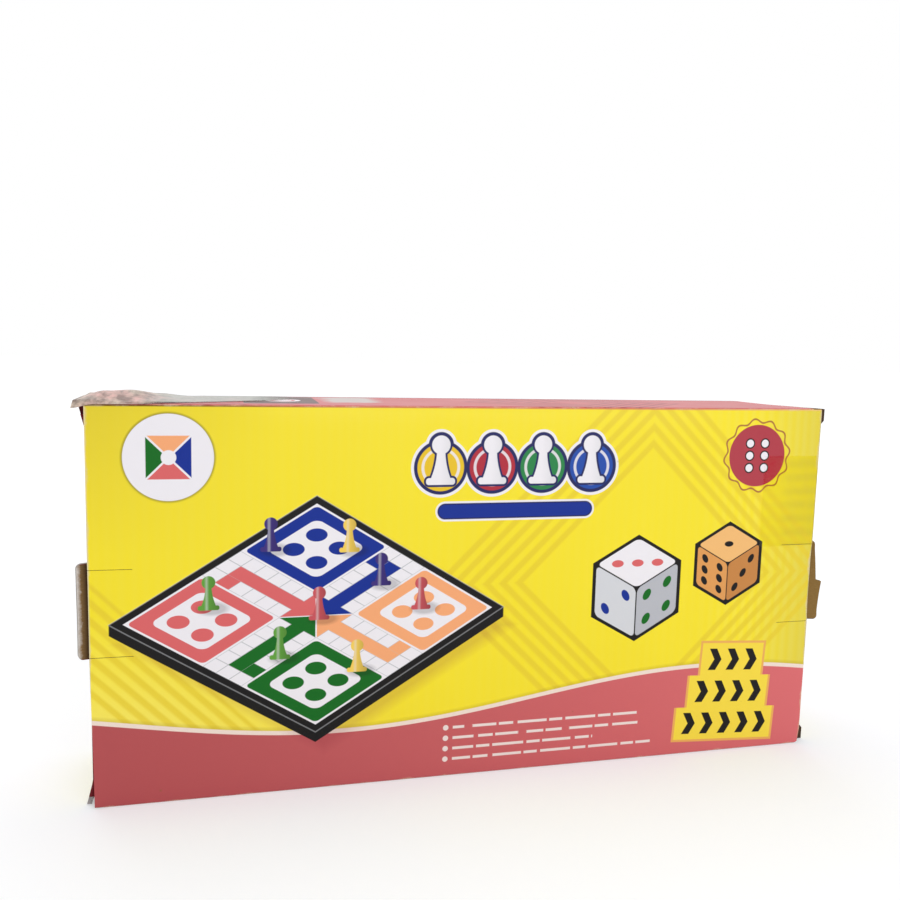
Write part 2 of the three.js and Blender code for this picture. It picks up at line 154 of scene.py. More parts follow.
# The photograph's viewpoint: a 36 mm lens, 30 cm before the carton's left end and just above it
CAMERA_PLACE = (-0.08878, -0.32059, 0.1538)
CAMERA_RIGHT = (0.97028, -0.24072, 0.02459)
CAMERA_UP = (0.00456, 0.11977, 0.99279)
LENS_MM = 36.2
SENSOR_MM = 36.0

# Stage: how far the floor reaches in metres, its own white near and far, and the sky's light
FLOOR_REACH = 6.0
FLOOR_GLOW, FLOOR_GLOW_MORE = 0.45, 0.24
SKY_LEVEL = 0.62
WHITE = (1.0, 1.0, 1.0, 1.0)


def rgb(red, green, blue):
    """A colour given in screen values from 0 to 255, as the linear values that a shader takes."""
    shares = [value / 255 for value in (red, green, blue)]
    return tuple(s / 12.92 if s <= 0.04045 else ((s + 0.055) / 1.055) ** 2.4 for s in shares)


# Inks and boards
YELLOW = rgb(252, 232, 44)
YELLOW_LINE = rgb(235, 208, 48)
CRIMSON = rgb(206, 94, 98)
# The band's ends: darker on the left as painted shade, lighter on the right as painted light.
CRIMSON_LEFT = rgb(181, 81, 84)
CRIMSON_RIGHT = rgb(221, 110, 114)
CRIMSON_DARK = rgb(152, 52, 62)
PAPER_WHITE = rgb(242, 239, 245)
INK_BLACK = rgb(12, 9, 9)
INK_NAVY = rgb(30, 34, 92)
INK_BLUE = rgb(8, 44, 146)
INK_GREEN = rgb(4, 104, 24)
INK_ORANGE = rgb(249, 172, 120)
INK_RED = rgb(221, 103, 105)
INK_GREY = rgb(196, 198, 202)
PIN_LINE = rgb(244, 226, 214)
PAWN_GREEN = rgb(98, 162, 62)
PAWN_VIOLET = rgb(62, 46, 124)
PAWN_YELLOW = rgb(248, 210, 92)
PAWN_RED = rgb(202, 84, 92)
TOKEN_INKS = [rgb(236, 196, 40), rgb(178, 44, 60), rgb(40, 132, 72), rgb(32, 76, 170)]
PAWN_INKS = {
    "red": rgb(200, 32, 44),
    "yellow": rgb(242, 197, 29),
    "green": rgb(31, 122, 61),
    "blue": rgb(32, 69, 160),
}
KRAFT = rgb(166, 132, 88)
KRAFT_DARK = rgb(120, 92, 56)
PALE_PAPER = rgb(206, 200, 194)
# Front corners of the end closures in painted shade: the crimson print darkened on the left, the brown
# board darkened on the right.
LEFT_TIP_SHADED_CRIMSON = rgb(110, 28, 36)
RIGHT_TIP_SHADED_BROWN = rgb(82, 62, 48)
# The front's top crease from left to right: dark brown on the left, painted shadow under the film,
# then the crimson print of the crease, paler towards the right end.
CREASE_PRINT_AND_SHADOW = [
    (0.0, rgb(96, 48, 30)),
    (0.16, rgb(130, 66, 46)),
    (0.3, rgb(196, 96, 84)),
    (0.75, rgb(214, 124, 100)),
    (1.0, rgb(240, 196, 120)),
]
INK_BLUR_MM = 0.22
TURN = 2 * math.pi

# Pips of the printed dice, as shares of a face's edge from its middle
PIPS_1 = [(0.0, 0.0)]
PIPS_2 = [(-0.24, -0.24), (0.24, 0.24)]
PIPS_3 = [(0.0, 0.0), (-0.24, 0.24), (0.24, -0.24)]
PIPS_4 = [(x, y) for x in (-0.24, 0.24) for y in (-0.24, 0.24)]
PIPS_6 = [(x, y) for x in (-0.24, 0.24) for y in (-0.28, 0.0, 0.28)]


# Camera and lamps


def add_camera():
    """Camera from its right and up directions, made square to each other."""
    right = np.array(CAMERA_RIGHT) / np.linalg.norm(CAMERA_RIGHT)
    back = np.cross(right, np.array(CAMERA_UP))
    back = back / np.linalg.norm(back)
    data = bpy.data.cameras.new("camera")
    data.lens = LENS_MM
    data.sensor_width = SENSOR_MM
    data.clip_start = 0.01
    camera = bpy.data.objects.new("camera", data)
    bpy.context.scene.collection.objects.link(camera)
    camera.matrix_world = standing(right, np.cross(back, right), back, CAMERA_PLACE)
    bpy.context.scene.camera = camera


def standing(right, up, back, place):
    """The matrix of a thing with these axes at this place."""
    rows = np.column_stack([right, up, back, place])
    return Matrix(np.vstack([rows, (0, 0, 0, 1)]).tolist())


def add_lamp(name, place, aim, size, power):
    """A square soft lamp at place, facing aim."""
    data = bpy.data.lights.new(name, "AREA")
    data.size = size
    data.energy = power
    lamp = bpy.data.objects.new(name, data)
    bpy.context.scene.collection.objects.link(lamp)
    away = np.array(place) - np.array(aim)
    away = away / np.linalg.norm(away)
    side = np.cross((0.0, 0.1, 1.0), away)
    side = side / np.linalg.norm(side)
    lamp.matrix_world = standing(side, np.cross(away, side), away, place)


# Shader maths


class Field:
    """A shader value. Arithmetic on it adds Math nodes, so formulas read as formulas."""

    def __init__(self, paint, socket):
        self.paint = paint
        self.socket = socket

    def math(self, operation, *others, clamp=False):
        settings = {"operation": operation, "use_clamp": clamp}
        return self.paint.node("ShaderNodeMath", settings, self, *others)

    def __add__(self, other):
        return self.math("ADD", other)

    def __sub__(self, other):
        return self.math("SUBTRACT", other)

    def __mul__(self, other):
        return self.math("MULTIPLY", other)

    def __truediv__(self, other):
        return self.math("DIVIDE", other)

    def __neg__(self):
        return self.math("MULTIPLY", -1.0)

    __radd__ = __add__
    __rmul__ = __mul__

    def __rsub__(self, other):
        return (-self).math("ADD", other)

    def __abs__(self):
        return self.math("ABSOLUTE")

    def __gt__(self, other):
        return self.math("GREATER_THAN", other)

    def clamp(self, low=0.0, high=1.0):
        if (low, high) == (0.0, 1.0):
            return self.math("ADD", 0.0, clamp=True)
        return self.paint.node("ShaderNodeClamp", None, self, low, high)

    def least(self, other):
        return self.math("MINIMUM", other)

    def most(self, other):
        return self.math("MAXIMUM", other)

    def sine(self):
        return self.math("SINE")

    def round(self):
        return self.math("ROUND")

    def to_line(self):
        """Distance to the nearest whole number."""
        return abs(self - self.round())


class Paint:
    """The node tree of a material or world, with the shapes that a print is made of. A shape is a
    distance in millimetres to its outline, negative inside."""

    def __init__(self, owner):
        owner.use_nodes = True
        self.owner = owner
        self.tree = owner.node_tree
        self.tree.nodes.clear()

    def raw(self, kind, settings=None, *values, **named):
        """Adds a node: its settings first, then its enabled sockets by order or by name."""
        node = self.tree.nodes.new(kind)
        for key, value in (settings or {}).items():
            if key == "stops":
                self.set_stops(node.color_ramp, *value)
            else:
                setattr(node, key, value)
        sockets = list(zip([socket for socket in node.inputs if socket.enabled], values))
        sockets += [(node.inputs[key.replace("_", " ")], value) for key, value in named.items()]
        for socket, value in sockets:
            if isinstance(value, Field):
                self.tree.links.new(value.socket, socket)
            elif value is not None:
                socket.default_value = value
        return node

    def node(self, kind, settings=None, *values, **named):
        """Adds a node and gives its first enabled output."""
        made = self.raw(kind, settings, *values, **named)
        return Field(self, [socket for socket in made.outputs if socket.enabled][0])

    @staticmethod
    def set_stops(ramp, interpolation, stops):
        ramp.interpolation = interpolation
        while len(ramp.elements) < len(stops):
            ramp.elements.new(0.5)
        for element, (position, colour) in zip(ramp.elements, stops):
            element.position = position
            element.color = (*colour, 1.0)

    def mix(self, factor, below, above):
        """The colour above over the colour below, where factor is 1."""
        full = [(*value, 1.0) if isinstance(value, tuple) else value for value in (below, above)]
        return self.node("ShaderNodeMix", {"data_type": "RGBA"}, factor, *full)

    def ramp(self, factor, stops, interpolation="LINEAR"):
        """Colours as factor goes from 0 to 1, each stop a place and a colour."""
        return self.node("ShaderNodeValToRGB", {"stops": (interpolation, stops)}, factor)

    def vector(self, operation, *values):
        made = self.raw("ShaderNodeVectorMath", {"operation": operation}, *values)
        name = "Value" if operation in ("LENGTH", "DISTANCE") else "Vector"
        return Field(self, made.outputs[name])

    def split(self, vector):
        made = self.raw("ShaderNodeSeparateXYZ", None, vector)
        return tuple(Field(self, made.outputs[axis]) for axis in "XYZ")

    def join(self, x, y, z=0.0):
        return self.node("ShaderNodeCombineXYZ", None, x, y, z)

    def place(self):
        """Object coordinates in millimetres."""
        made = self.raw("ShaderNodeTexCoord")
        return self.vector("MULTIPLY", Field(self, made.outputs["Object"]), (1000.0, 1000.0, 1000.0))

    def flat(self, right, up):
        """Place on a panel in millimetres, from axes such as "X" or "-Y" of the object."""
        parts = dict(zip("XYZ", self.split(self.place())))
        along = [-parts[axis[1]] if axis.startswith("-") else parts[axis] for axis in (right, up)]
        return self.join(*along)

    def noise(self, point, scale, detail=2.0, rough=0.5):
        values = {"Vector": point, "Scale": scale, "Detail": detail, "Roughness": rough}
        return self.node("ShaderNodeTexNoise", None, **values)

    def inside(self, distance, blur=INK_BLUR_MM):
        """1 inside a shape, 0 outside, with a soft step of blur at the outline."""
        return distance.math("MULTIPLY_ADD", -1 / blur, 0.5, clamp=True)

    def over(self, colour, shape, ink, blur=INK_BLUR_MM, share=1.0):
        """The ink, or a share of it, over the colour inside a shape."""
        cover = self.inside(shape, blur)
        return self.mix(cover if share == 1.0 else cover * share, colour, ink)

    def disc(self, point, centre, radius):
        return self.vector("DISTANCE", point, (*centre, 0.0)) - radius

    def box(self, point, centre, half_width, half_height, corner=0.0):
        """Distance to a rounded rectangle: outside, the length of what lies beyond the rectangle of
        its corners' centres; inside, the nearer side; both less the corner radius."""
        away = self.vector("ABSOLUTE", self.vector("SUBTRACT", point, (*centre, 0.0)))
        beyond = self.vector("SUBTRACT", away, (half_width - corner, half_height - corner, 0.0))
        x, y, _ = self.split(beyond)
        outside = self.vector("LENGTH", self.vector("MAXIMUM", beyond, (0.0, 0.0, 0.0)))
        return outside + x.most(y).least(0.0) - corner

    def local(self, point, centre, turn=0.0, scale=1.0):
        """The point as seen from centre, turned by -turn degrees and divided by scale."""
        x, y, _ = self.split(self.vector("SUBTRACT", point, (*centre, 0.0)))
        if not turn and scale == 1.0:
            return x, y
        along, aside = math.cos(math.radians(turn)) / scale, math.sin(math.radians(turn)) / scale
        return x * along + y * aside, y * along - x * aside

    def bump(self, height, distance_mm, strength=1.0, normal=None):
        named = {"Strength": strength, "Distance": distance_mm * MM, "Height": height}
        return self.node("ShaderNodeBump", None, Normal=normal, **named)

    def finish(
        self,
        colour,
        roughness,
        normal=None,
        metallic=0.0,
        coat=0.0,
        coat_roughness=0.1,
        specular=0.5,
        alpha=1.0,
    ):
        """Ends the tree in a Principled shader and gives the material."""
        shader = self.node(
            "ShaderNodeBsdfPrincipled",
            None,
            Base_Color=(*colour, 1.0) if isinstance(colour, tuple) else colour,
            Roughness=roughness,
            Metallic=metallic,
            Coat_Weight=coat,
            Coat_Roughness=coat_roughness,
            Specular_IOR_Level=specular,
            Alpha=alpha,
            Normal=normal,
        )
        self.raw("ShaderNodeOutputMaterial", None, shader)
        return self.owner


def new_paint(name):
    return Paint(bpy.data.materials.new(name))


# Motifs of the print


def pawn_shape(paint, x, y):
    """A pawn one unit high standing on the origin: a round head, a skirt that widens downwards as a
    parabola, and a rounded foot."""
    point = paint.join(x, y)
    head = paint.disc(point, (0.0, 0.81), 0.19)
    below_neck = (0.72 - y).clamp()
    skirt = abs(x) - below_neck * below_neck * 0.34 - 0.085
    skirt = skirt.most(abs(y - 0.42) - 0.34)
    foot = paint.box(point, (0.0, 0.07), 0.3, 0.07, 0.06)
    return head.least(skirt).least(foot)


def paint_pawn(paint, colour, point, foot, height, ink):
    """A small pawn in one ink, with a soft shadow at its foot and a light streak on its left."""
    x, y = paint.local(point, foot, scale=height)
    shape = pawn_shape(paint, x, y)
    blur = INK_BLUR_MM / height
    shade = paint.vector("LENGTH", paint.join(x - 0.12, (y - 0.04) * 2.2)) - 0.42
    colour = paint.over(colour, shade, INK_BLACK, 0.2, share=0.35)
    lit = tuple(channel * 0.45 + 0.42 for channel in ink)
    dark = tuple(channel * 0.5 for channel in ink)
    body = paint.mix((x * 2.6 + 0.3).clamp() * 0.8, ink, dark)
    body = paint.over(body, abs(x + 0.055) - 0.035, lit, 0.06, share=0.7)
    return paint.over(colour, shape, body, blur)


def wave(along, length):
    """A sine wave of the given length, from -1 to 1."""
    return (along * (TURN / length)).sine()


def four_inks(paint, steep, right, top):
    """Four inks round a middle: green and blue left and right, red and orange below and above."""
    level_ink = paint.mix(right, INK_GREEN, INK_BLUE)
    return paint.mix(steep, level_ink, paint.mix(top, INK_RED, INK_ORANGE))


def paint_ludo(paint, colour, across, up, cell_mm):
    """The traditional ludo board on a square of 15 by 15 cells. across and up count cells from its
    middle. Four yards in the corners, a cross of three-cell arms, four triangles in the middle."""
    wide, high = abs(across), abs(up)
    blur = INK_BLUR_MM / cell_mm
    right, top, steep = across > 0.0, up > 0.0, high - wide > 0.0
    arm_ink = four_inks(paint, steep, right, top)
    lower_ink = paint.mix(right, INK_RED, INK_BLUE)
    upper_ink = paint.mix(right, INK_GREEN, INK_ORANGE)
    yard_ink = paint.mix(top, lower_ink, upper_ink)

    line = (across + 0.5).to_line().least((up + 0.5).to_line()) - 0.035
    nearer, further = wide.least(high), wide.most(high)
    colour = paint.over(colour, line.most(nearer - 1.5), INK_GREY, blur)
    home = (nearer - 0.5).most(further - 6.5)
    start = (abs(further - 6.0) - 0.5).most(abs(nearer - 1.0) - 0.5)
    start = start.most(across * up * (steep * -2.0 + 1.0) * 0.2)
    centre = further - 1.5
    colour = paint.over(colour, home.least(start).least(centre), arm_ink, blur)
    spokes = (abs(wide - high) - 0.06).most(centre)
    colour = paint.over(colour, spokes, PAPER_WHITE, blur)

    yard = paint.join(wide - 4.5, high - 4.5)
    colour = paint.over(colour, paint.box(yard, (0, 0), 2.85, 2.85, 0.3), yard_ink, blur)
    colour = paint.over(colour, paint.box(yard, (0, 0), 2.0, 2.0, 0.5), PAPER_WHITE, blur)
    spots = paint.disc(paint.vector("ABSOLUTE", yard), (0.92, 0.92), 0.62)
    return paint.over(colour, spots, yard_ink, blur)


def paint_flat_board(paint, colour, point, centre, half_mm, rim_mm):
    """A ludo board seen square on, in a black frame."""
    colour = paint.over(colour, paint.box(point, centre, half_mm, half_mm, 1.5), INK_BLACK)
    inner = half_mm - rim_mm
    cell = inner / 7.5
    across, up = paint.local(point, centre, scale=cell)
    painted = paint_ludo(paint, PAPER_WHITE, across, up, cell)
    return paint.over(colour, paint.box(point, centre, inner, inner, 0.5), painted)


def paint_tilted_board(paint, colour, point, centre, half_width, half_height, rim, drop):
    """A ludo board lying flat and seen cornerwise: a rhombus, whose cells along one edge and along
    the other go as the sum and the difference of the shares across and up."""
    x, y = paint.local(point, centre)
    across, up = x / half_width, y / half_height
    lifted = y + (-y).clamp(0.0, drop)
    solid = abs(across) + abs(lifted / half_height) - 1.0
    blur = INK_BLUR_MM / half_height
    shadow = abs((x - 3.0) / half_width) + abs((lifted + 3.0) / half_height) - 1.0
    colour = paint.over(colour, shadow, CRIMSON_DARK, 0.12, share=0.3)
    colour = paint.over(colour, solid, INK_BLACK, blur)
    top = abs(across) + abs(up) - 1.0
    colour = paint.over(colour, abs(top) - 0.006, INK_GREY, blur, share=0.35)
    cells = 7.5 / (1 - rim)
    edge_mm = math.hypot(half_width, half_height) / 15
    painted = paint_ludo(paint, PAPER_WHITE, (across + up) * cells, (across - up) * cells, edge_mm)
    return paint.over(colour, top + rim, painted, blur)


def paint_die(paint, colour, point, centre, edge, faces):
    """A die seen cornerwise: three rhombic faces round its middle, each with its own two axes, in a
    black outline. faces gives, for each face, its tint, its pips' ink and the places of the pips."""
    lean = math.cos(math.radians(30)) * edge
    slope = math.tan(math.radians(30))
    x, y = paint.local(point, centre)
    hexagon = (abs(x) - lean).most(abs(y) + abs(x) * slope - edge)
    colour = paint.over(colour, hexagon - 1.1, INK_BLACK)
    up, aside = y / edge, x * (slope / edge)
    axes = [(up + aside, up - aside), (x / -lean, -up - aside), (x / lean, aside - up)]
    blur = INK_BLUR_MM / edge
    for (first, second), (tint, ink, spots) in zip(axes, faces):
        face = paint.join(first - 0.5, second - 0.5)
        colour = paint.over(colour, paint.box(face, (0, 0), 0.485, 0.485, 0.1), tint, blur)
        for spot in spots:
            colour = paint.over(colour, paint.disc(face, spot, 0.1), ink, blur)
    return colour


def paint_tokens(paint, colour, point, first, pitch, inks):
    """A row of white pawns on coloured rings, outlined in navy and white."""
    x, y = paint.local(point, first)
    last = len(inks) - 1
    index = (x / pitch).round().clamp(0.0, float(last)) if last else x * 0.0
    across = x - index * pitch
    stops = [(number / len(inks), ink) for number, ink in enumerate(inks)]
    ink = paint.ramp(index / len(inks) + 0.5 / len(inks), stops, "CONSTANT")
    ring = paint.disc(paint.join(across, y), (0.0, 0.0), 8.2)
    pawn = pawn_shape(paint, across / 17.0, (y + 6.0) / 17.0) * 17.0
    outline = ring.least(pawn)
    colour = paint.over(colour, outline - 2.2, PAPER_WHITE)
    colour = paint.over(colour, outline - 1.2, INK_NAVY)
    colour = paint.over(colour, ring, ink)
    colour = paint.over(colour, abs(ring + 1.9) - 0.5, PAPER_WHITE, share=0.8)
    colour = paint.over(colour, pawn - 0.75, INK_NAVY)
    body = paint.mix((across * 0.22 + 0.1).clamp() * 0.35, PAPER_WHITE, INK_GREY)
    return paint.over(colour, pawn, body)


def paint_pill(paint, colour, point, centre, half_width):
    """A bare blue bar with round ends, outlined in white and navy."""
    half_height = 2.3
    pill = paint.box(point, centre, half_width, half_height, half_height)
    colour = paint.over(colour, pill - 1.2, PAPER_WHITE)
    colour = paint.over(colour, pill - 0.5, INK_NAVY)
    return paint.over(colour, pill, INK_BLUE)


def paint_label(paint, colour, point, centre, half_mm):
    """A round white label with a dark edge; on it a square of four triangles."""
    shape = paint.disc(point, centre, half_mm)
    colour = paint.over(colour, shape - 0.5, rgb(60, 54, 30), 0.8, share=0.6)
    colour = paint.over(colour, shape, PAPER_WHITE)
    x, y = paint.local(point, centre)
    ink = four_inks(paint, abs(y) - abs(x) > 0.0, x > 0.0, y > 0.0)
    square = (abs(x).most(abs(y)) - half_mm * 0.5).most(0.45 - abs(abs(x) - abs(y)))
    colour = paint.over(colour, square, ink)
    return paint.over(colour, paint.disc(point, centre, half_mm * 0.17), PAPER_WHITE)


def paint_badge(paint, colour, point, centre, radius):
    """A crimson disc in a thin dark scalloped ring, with six white pips."""
    x, y = paint.local(point, centre)
    reach = paint.vector("LENGTH", paint.join(x, y))
    scallop = reach - (y.math("ARCTAN2", x) * 12.0).sine() * 0.7 - (radius + 1.5)
    colour = paint.over(colour, abs(scallop) - 0.35, CRIMSON_DARK, share=0.8)
    colour = paint.over(colour, reach - radius, rgb(178, 62, 74))
    row = y - (y / 4.6).round().clamp(-1.0, 1.0) * 4.6
    pips = paint.vector("LENGTH", paint.join(abs(x) - 3.1, row)) - 1.45
    colour = paint.over(colour, pips - 0.5, INK_BLACK)
    return paint.over(colour, pips, PAPER_WHITE)


def paint_chevrons(paint, colour, point, corner, turn):
    """Three slanted rows of black arrows on a yellow ground. The rows hold three, four and five."""
    pitch, row_pitch = 7.6, 12.6
    x, y = paint.local(point, corner, turn)
    row = (y * (-1 / row_pitch)).round().clamp(0.0, 2.0)
    along = x + row * 4.2
    count = row + 3.0
    index = (along / pitch - 0.5).round().most(0.0).least(count - 1.0)
    across = along - (index + 0.5) * pitch
    up = y + row * row_pitch
    arrow = (abs(across + abs(up) * 0.55 - 1.5) - 1.55).most(abs(up) - 4.2)
    half = count * (pitch / 2)
    ground = (abs(along - half) - half - 1.6).most(abs(up) - 6.4)
    colour = paint.over(colour, ground - 0.9, rgb(238, 176, 92))
    colour = paint.over(colour, ground, rgb(250, 222, 70))
    return paint.over(colour, arrow, INK_BLACK)


def paint_dashes(paint, colour, point, corner, ink):
    """Four rows, each a dot and a line of dashes of unlike lengths, as plain as ruled paper."""
    row_pitch = 3.9
    x, y = paint.local(point, corner)
    row = (y * (-1 / row_pitch)).round().clamp(0.0, 3.0)
    up = y + row * row_pitch
    dot = paint.vector("LENGTH", paint.join(x, up)) - 1.0
    length = (row * 2.3 + 0.4).sine() * 13.0 + 66.0
    dash = (x / 9.3 + (x * 0.31 + row).sine() * 0.22).to_line() * -9.3 + 0.75
    line = (abs(x - length / 2.0 - 2.6) - length / 2.0).most(abs(up) - 0.5).most(dash)
    return paint.over(colour, dot.least(line), ink)


def paint_nested(paint, colour, point, centre, near, far, ink=YELLOW_LINE):
    """Soft nested diamonds between two distances from a centre, tone on tone, a line each 6 mm."""
    x, y = paint.local(point, centre)
    away = abs(x) + abs(y)
    lines = (wave(away, 6.0) * 0.8 + 0.5).clamp()
    ring = paint.inside((near - away).most(away - far), 1.5)
    return paint.mix(lines * ring * 0.75, colour, ink)


def ground_print(paint, point, nested, trough):
    """Yellow ground with nested diamonds, over a crimson band. Shade and light are painted on the
    yellow: deeper at the top left and the far right, paler low on the left, and lighter bands at the
    flutes' pitch towards the right as a painted sheen. The band's top is a cosine with its trough at
    a given place, with a white line along it and a soft shadow above that. The band is painted
    darker on the left and lighter on the right, as shade and light."""
    x, y, _ = paint.split(point)
    colour = paint.mix(paint.noise(point, 0.02) * 0.25, YELLOW, YELLOW_LINE)
    # Lighter bands at the flutes' pitch, shown more towards the right: a painted sheen of the
    # washboard.
    drift = paint.noise(paint.join(x, y * 0.1), 0.05) * 9.0
    bands = (x * (TURN / 3.6) + drift).sine() * 0.5 + 0.5
    shown = (x * 0.006 - 0.45).clamp(0.04, 0.3)
    colour = paint.mix(bands * shown, colour, rgb(246, 238, 120))
    # Painted shade at the top left and the far right, painted light low on the left.
    top_left = ((y - 84.0) / 48.0).clamp() * ((-70.0 - x) / 60.0).clamp()
    colour = paint.mix(top_left * 0.7, colour, rgb(220, 198, 52))
    colour = paint.mix(((x - 104.0) / 30.0).clamp() * 0.65, colour, rgb(214, 196, 78))
    low_left = ((64.0 - y) / 44.0).clamp() * ((-30.0 - x) / 80.0).clamp()
    colour = paint.mix(low_left * 0.55, colour, rgb(254, 240, 128))
    for centre, near, far in nested:
        colour = paint_nested(paint, colour, point, centre, near, far)
    middle, swing, length = 26.75, 7.2, 276.0
    above = y - middle + ((x - trough) * (TURN / length)).math("COSINE") * swing
    colour = paint.over(colour, above - 2.3, rgb(150, 120, 30), 1.6, share=0.35)
    colour = paint.over(colour, above - 1.5, PIN_LINE)
    # The band: painted shade on the left, painted light on the right.
    band = paint.mix((x / (2 * HALF_LENGTH / MM) + 0.5).clamp(), CRIMSON_LEFT, CRIMSON_RIGHT)
    return paint.over(colour, above, band)


def rubbed(paint, colour, point, half_width, low, high):
    """Rubs the ink off along a panel's creases, more where a coarse noise is high."""
    x, y, _ = paint.split(point)
    edge = (half_width - abs(x)).least((high - low) / 2 - abs(y - (low + high) / 2))
    patchy = paint.noise(point, 0.09, 4.0, 0.65)
    rub = ((patchy - 0.42) * 5.0 - edge * 1.3 + 0.35).clamp()
    rub = rub * (paint.noise(point, 1.4) * 2.2 - 0.35).clamp()
    colour = paint.mix(rub * 0.75, colour, rgb(226, 208, 176))
    specks = paint.node("ShaderNodeTexVoronoi", None, Vector=point, Scale=0.055)
    return paint.over(colour, specks - 0.022, rgb(120, 100, 50), 0.02, share=0.35), rub


def coated(paint, colour, point, half_width, low, high):
    """Ends a film-laminated print: faint washboard lines over the flutes, a soft waviness, and dull
    where it is rubbed along its panel's creases."""
    colour, rub = rubbed(paint, colour, point, half_width, low, high)
    x, _, _ = paint.split(point)
    normal = paint.bump(wave(x, FLUTE_MM) * 0.5, 0.012, 0.6)
    normal = paint.bump(paint.noise(point, 0.035), 0.9, 0.35, normal)
    normal = paint.bump(paint.noise(point, 2.2), 0.01, 0.5, normal)
    roughness = paint.noise(point, 0.05) * 0.12 + rub * 0.3 + 0.36
    coat = 0.2 - rub * 0.16
    return paint.finish(colour, roughness, normal, coat=coat, coat_roughness=0.16, specular=0.1)


def beside(place, low, high):
    """How far a place lies outside the stretch from low to high, negative inside it."""
    return abs(place - (low + high) / 2 / MM) - (high - low) / 2 / MM


def under_film(paint, colour, point):
    """Under the seal's film the print is painted deeper, partly the tape's yellowing and partly
    painted shade where no glare falls, and the film's short level ripples are painted on it as
    bands of shade.
    """
    x, up, _ = paint.split(point)
    covered = paint.inside((SEAL_START / MM - x).most(beside(up, SEAL_LOW, SEAL_HIGH)), 0.4)
    # Deeper print under the film: tape yellowing and painted shade.
    saturation, value = 1.27, 0.975
    colour = paint.node("ShaderNodeHueSaturation", None, 0.5, saturation, value, covered, colour)
    # Darker level bands: painted shade of the film's ripples.
    level = (up * (TURN / 5.3) + paint.noise(point, 0.12) * 2.0).sine() * 0.5 + 0.5
    ripples = level * paint.inside(117.0 - x, 5.0) * covered
    return paint.mix(ripples * 0.35, colour, rgb(206, 186, 40))


def front_print():
    """Front: board lying cornerwise on the left, two dice on the right, and the small motifs."""
    paint = new_paint("printed_front")
    point = paint.flat("X", "Z")
    nested = [((-131.0, 8.0), 30.0, 68.0), ((62.0, 70.0), 46.0, 82.0)]
    colour = ground_print(paint, point, nested, -50.0)
    colour = paint_label(paint, colour, point, (-106.0, 115.5), half_mm=14.0)
    size = {"half_width": 66.0, "half_height": 41.0, "rim": 0.065, "drop": 3.6}
    colour = paint_tilted_board(paint, colour, point, (-59.0, 61.5), **size)
    pawns = [
        ((-94.0, 65.0), PAWN_GREEN),
        ((-74.0, 84.0), PAWN_VIOLET),
        ((-48.0, 83.0), PAWN_YELLOW),
        ((-37.0, 71.0), PAWN_VIOLET),
        ((-23.0, 62.0), PAWN_RED),
        ((-58.0, 60.0), PAWN_RED),
        ((-71.0, 47.0), PAWN_GREEN),
        ((-45.0, 41.0), PAWN_YELLOW),
    ]
    for foot, ink in pawns:
        colour = paint_pawn(paint, colour, point, foot, 11.5, ink)
    colour = paint_tokens(paint, colour, point, (-17.0, 111.5), 18.4, TOKEN_INKS)
    colour = paint_pill(paint, colour, point, (10.6, 96.2), half_width=28.0)
    white_die = [
        (PAPER_WHITE, INK_RED, PIPS_3),
        (rgb(214, 216, 222), INK_BLUE, PIPS_2),
        (rgb(186, 188, 196), INK_GREEN, PIPS_4),
    ]
    orange_die = [
        (rgb(245, 190, 120), INK_BLACK, PIPS_1),
        (rgb(226, 158, 88), INK_BLACK, PIPS_6),
        (rgb(200, 134, 70), INK_BLACK, PIPS_3),
    ]
    colour = paint_die(paint, colour, point, (58.0, 66.0), 19.0, white_die)
    colour = paint_die(paint, colour, point, (95.0, 74.0), 15.0, orange_die)
    colour = paint_badge(paint, colour, point, (104.5, 114.8), radius=11.6)
    colour = paint_chevrons(paint, colour, point, (88.0, 37.0), turn=-3.0)
    colour = paint_dashes(paint, colour, point, (-13.0, 18.2), rgb(240, 226, 222))
    high, long = HEIGHT / MM, HALF_LENGTH / MM
    x, up, _ = paint.split(point)
    # Down the front's ends, above the band: on the left a pale cream line, partly rubbed wear and
    # partly painted highlight, greyer low down; on the right a grey-olive line of painted shade.
    above_band = ((up - 32.0) * 0.1).clamp()
    low_left = paint.mix(((104.0 - up) * 0.15).clamp(), rgb(246, 226, 170), rgb(206, 204, 190))
    rim_light_and_shade = paint.mix(x > 0.0, low_left, rgb(160, 152, 118))
    colour = paint.mix(paint.inside(long - 0.3 - abs(x), 0.4) * above_band * 0.7, colour, rim_light_and_shade)
    # The top crease: its crimson print, with painted shadow under the film on the left.
    crease = paint.ramp(x / (2 * long) + 0.5, CREASE_PRINT_AND_SHADOW)
    colour = paint.over(colour, high - 0.75 - up, crease, 0.3, share=0.9)
    colour = under_film(paint, colour, point)
    return coated(paint, colour, point, long, 0.0, high)


def back_print():
    """Back: the same ground, a board seen square on and a row of tokens beside it."""
    paint = new_paint("printed_back")
    point = paint.flat("-X", "Z")
    nested = [((90.0, 80.0), 20.0, 56.0), ((-100.0, 110.0), 20.0, 50.0)]
    colour = ground_print(paint, point, nested, 50.0)
    colour = paint_flat_board(paint, colour, point, (-62.0, 76.0), half_mm=46.0, rim_mm=3.0)
    colour = paint_tokens(paint, colour, point, (24.0, 100.0), 22.0, TOKEN_INKS)
    colour = paint_pill(paint, colour, point, (57.0, 82.0), half_width=34.0)
    colour = paint_dashes(paint, colour, point, (18.0, 66.0), rgb(96, 60, 40))
    return coated(paint, colour, point, BACK_END / MM, 0.0, HEIGHT / MM)


def crimson_ground(paint, point):
    return paint.mix(paint.noise(point, 0.03) * 0.3, CRIMSON, CRIMSON_DARK)


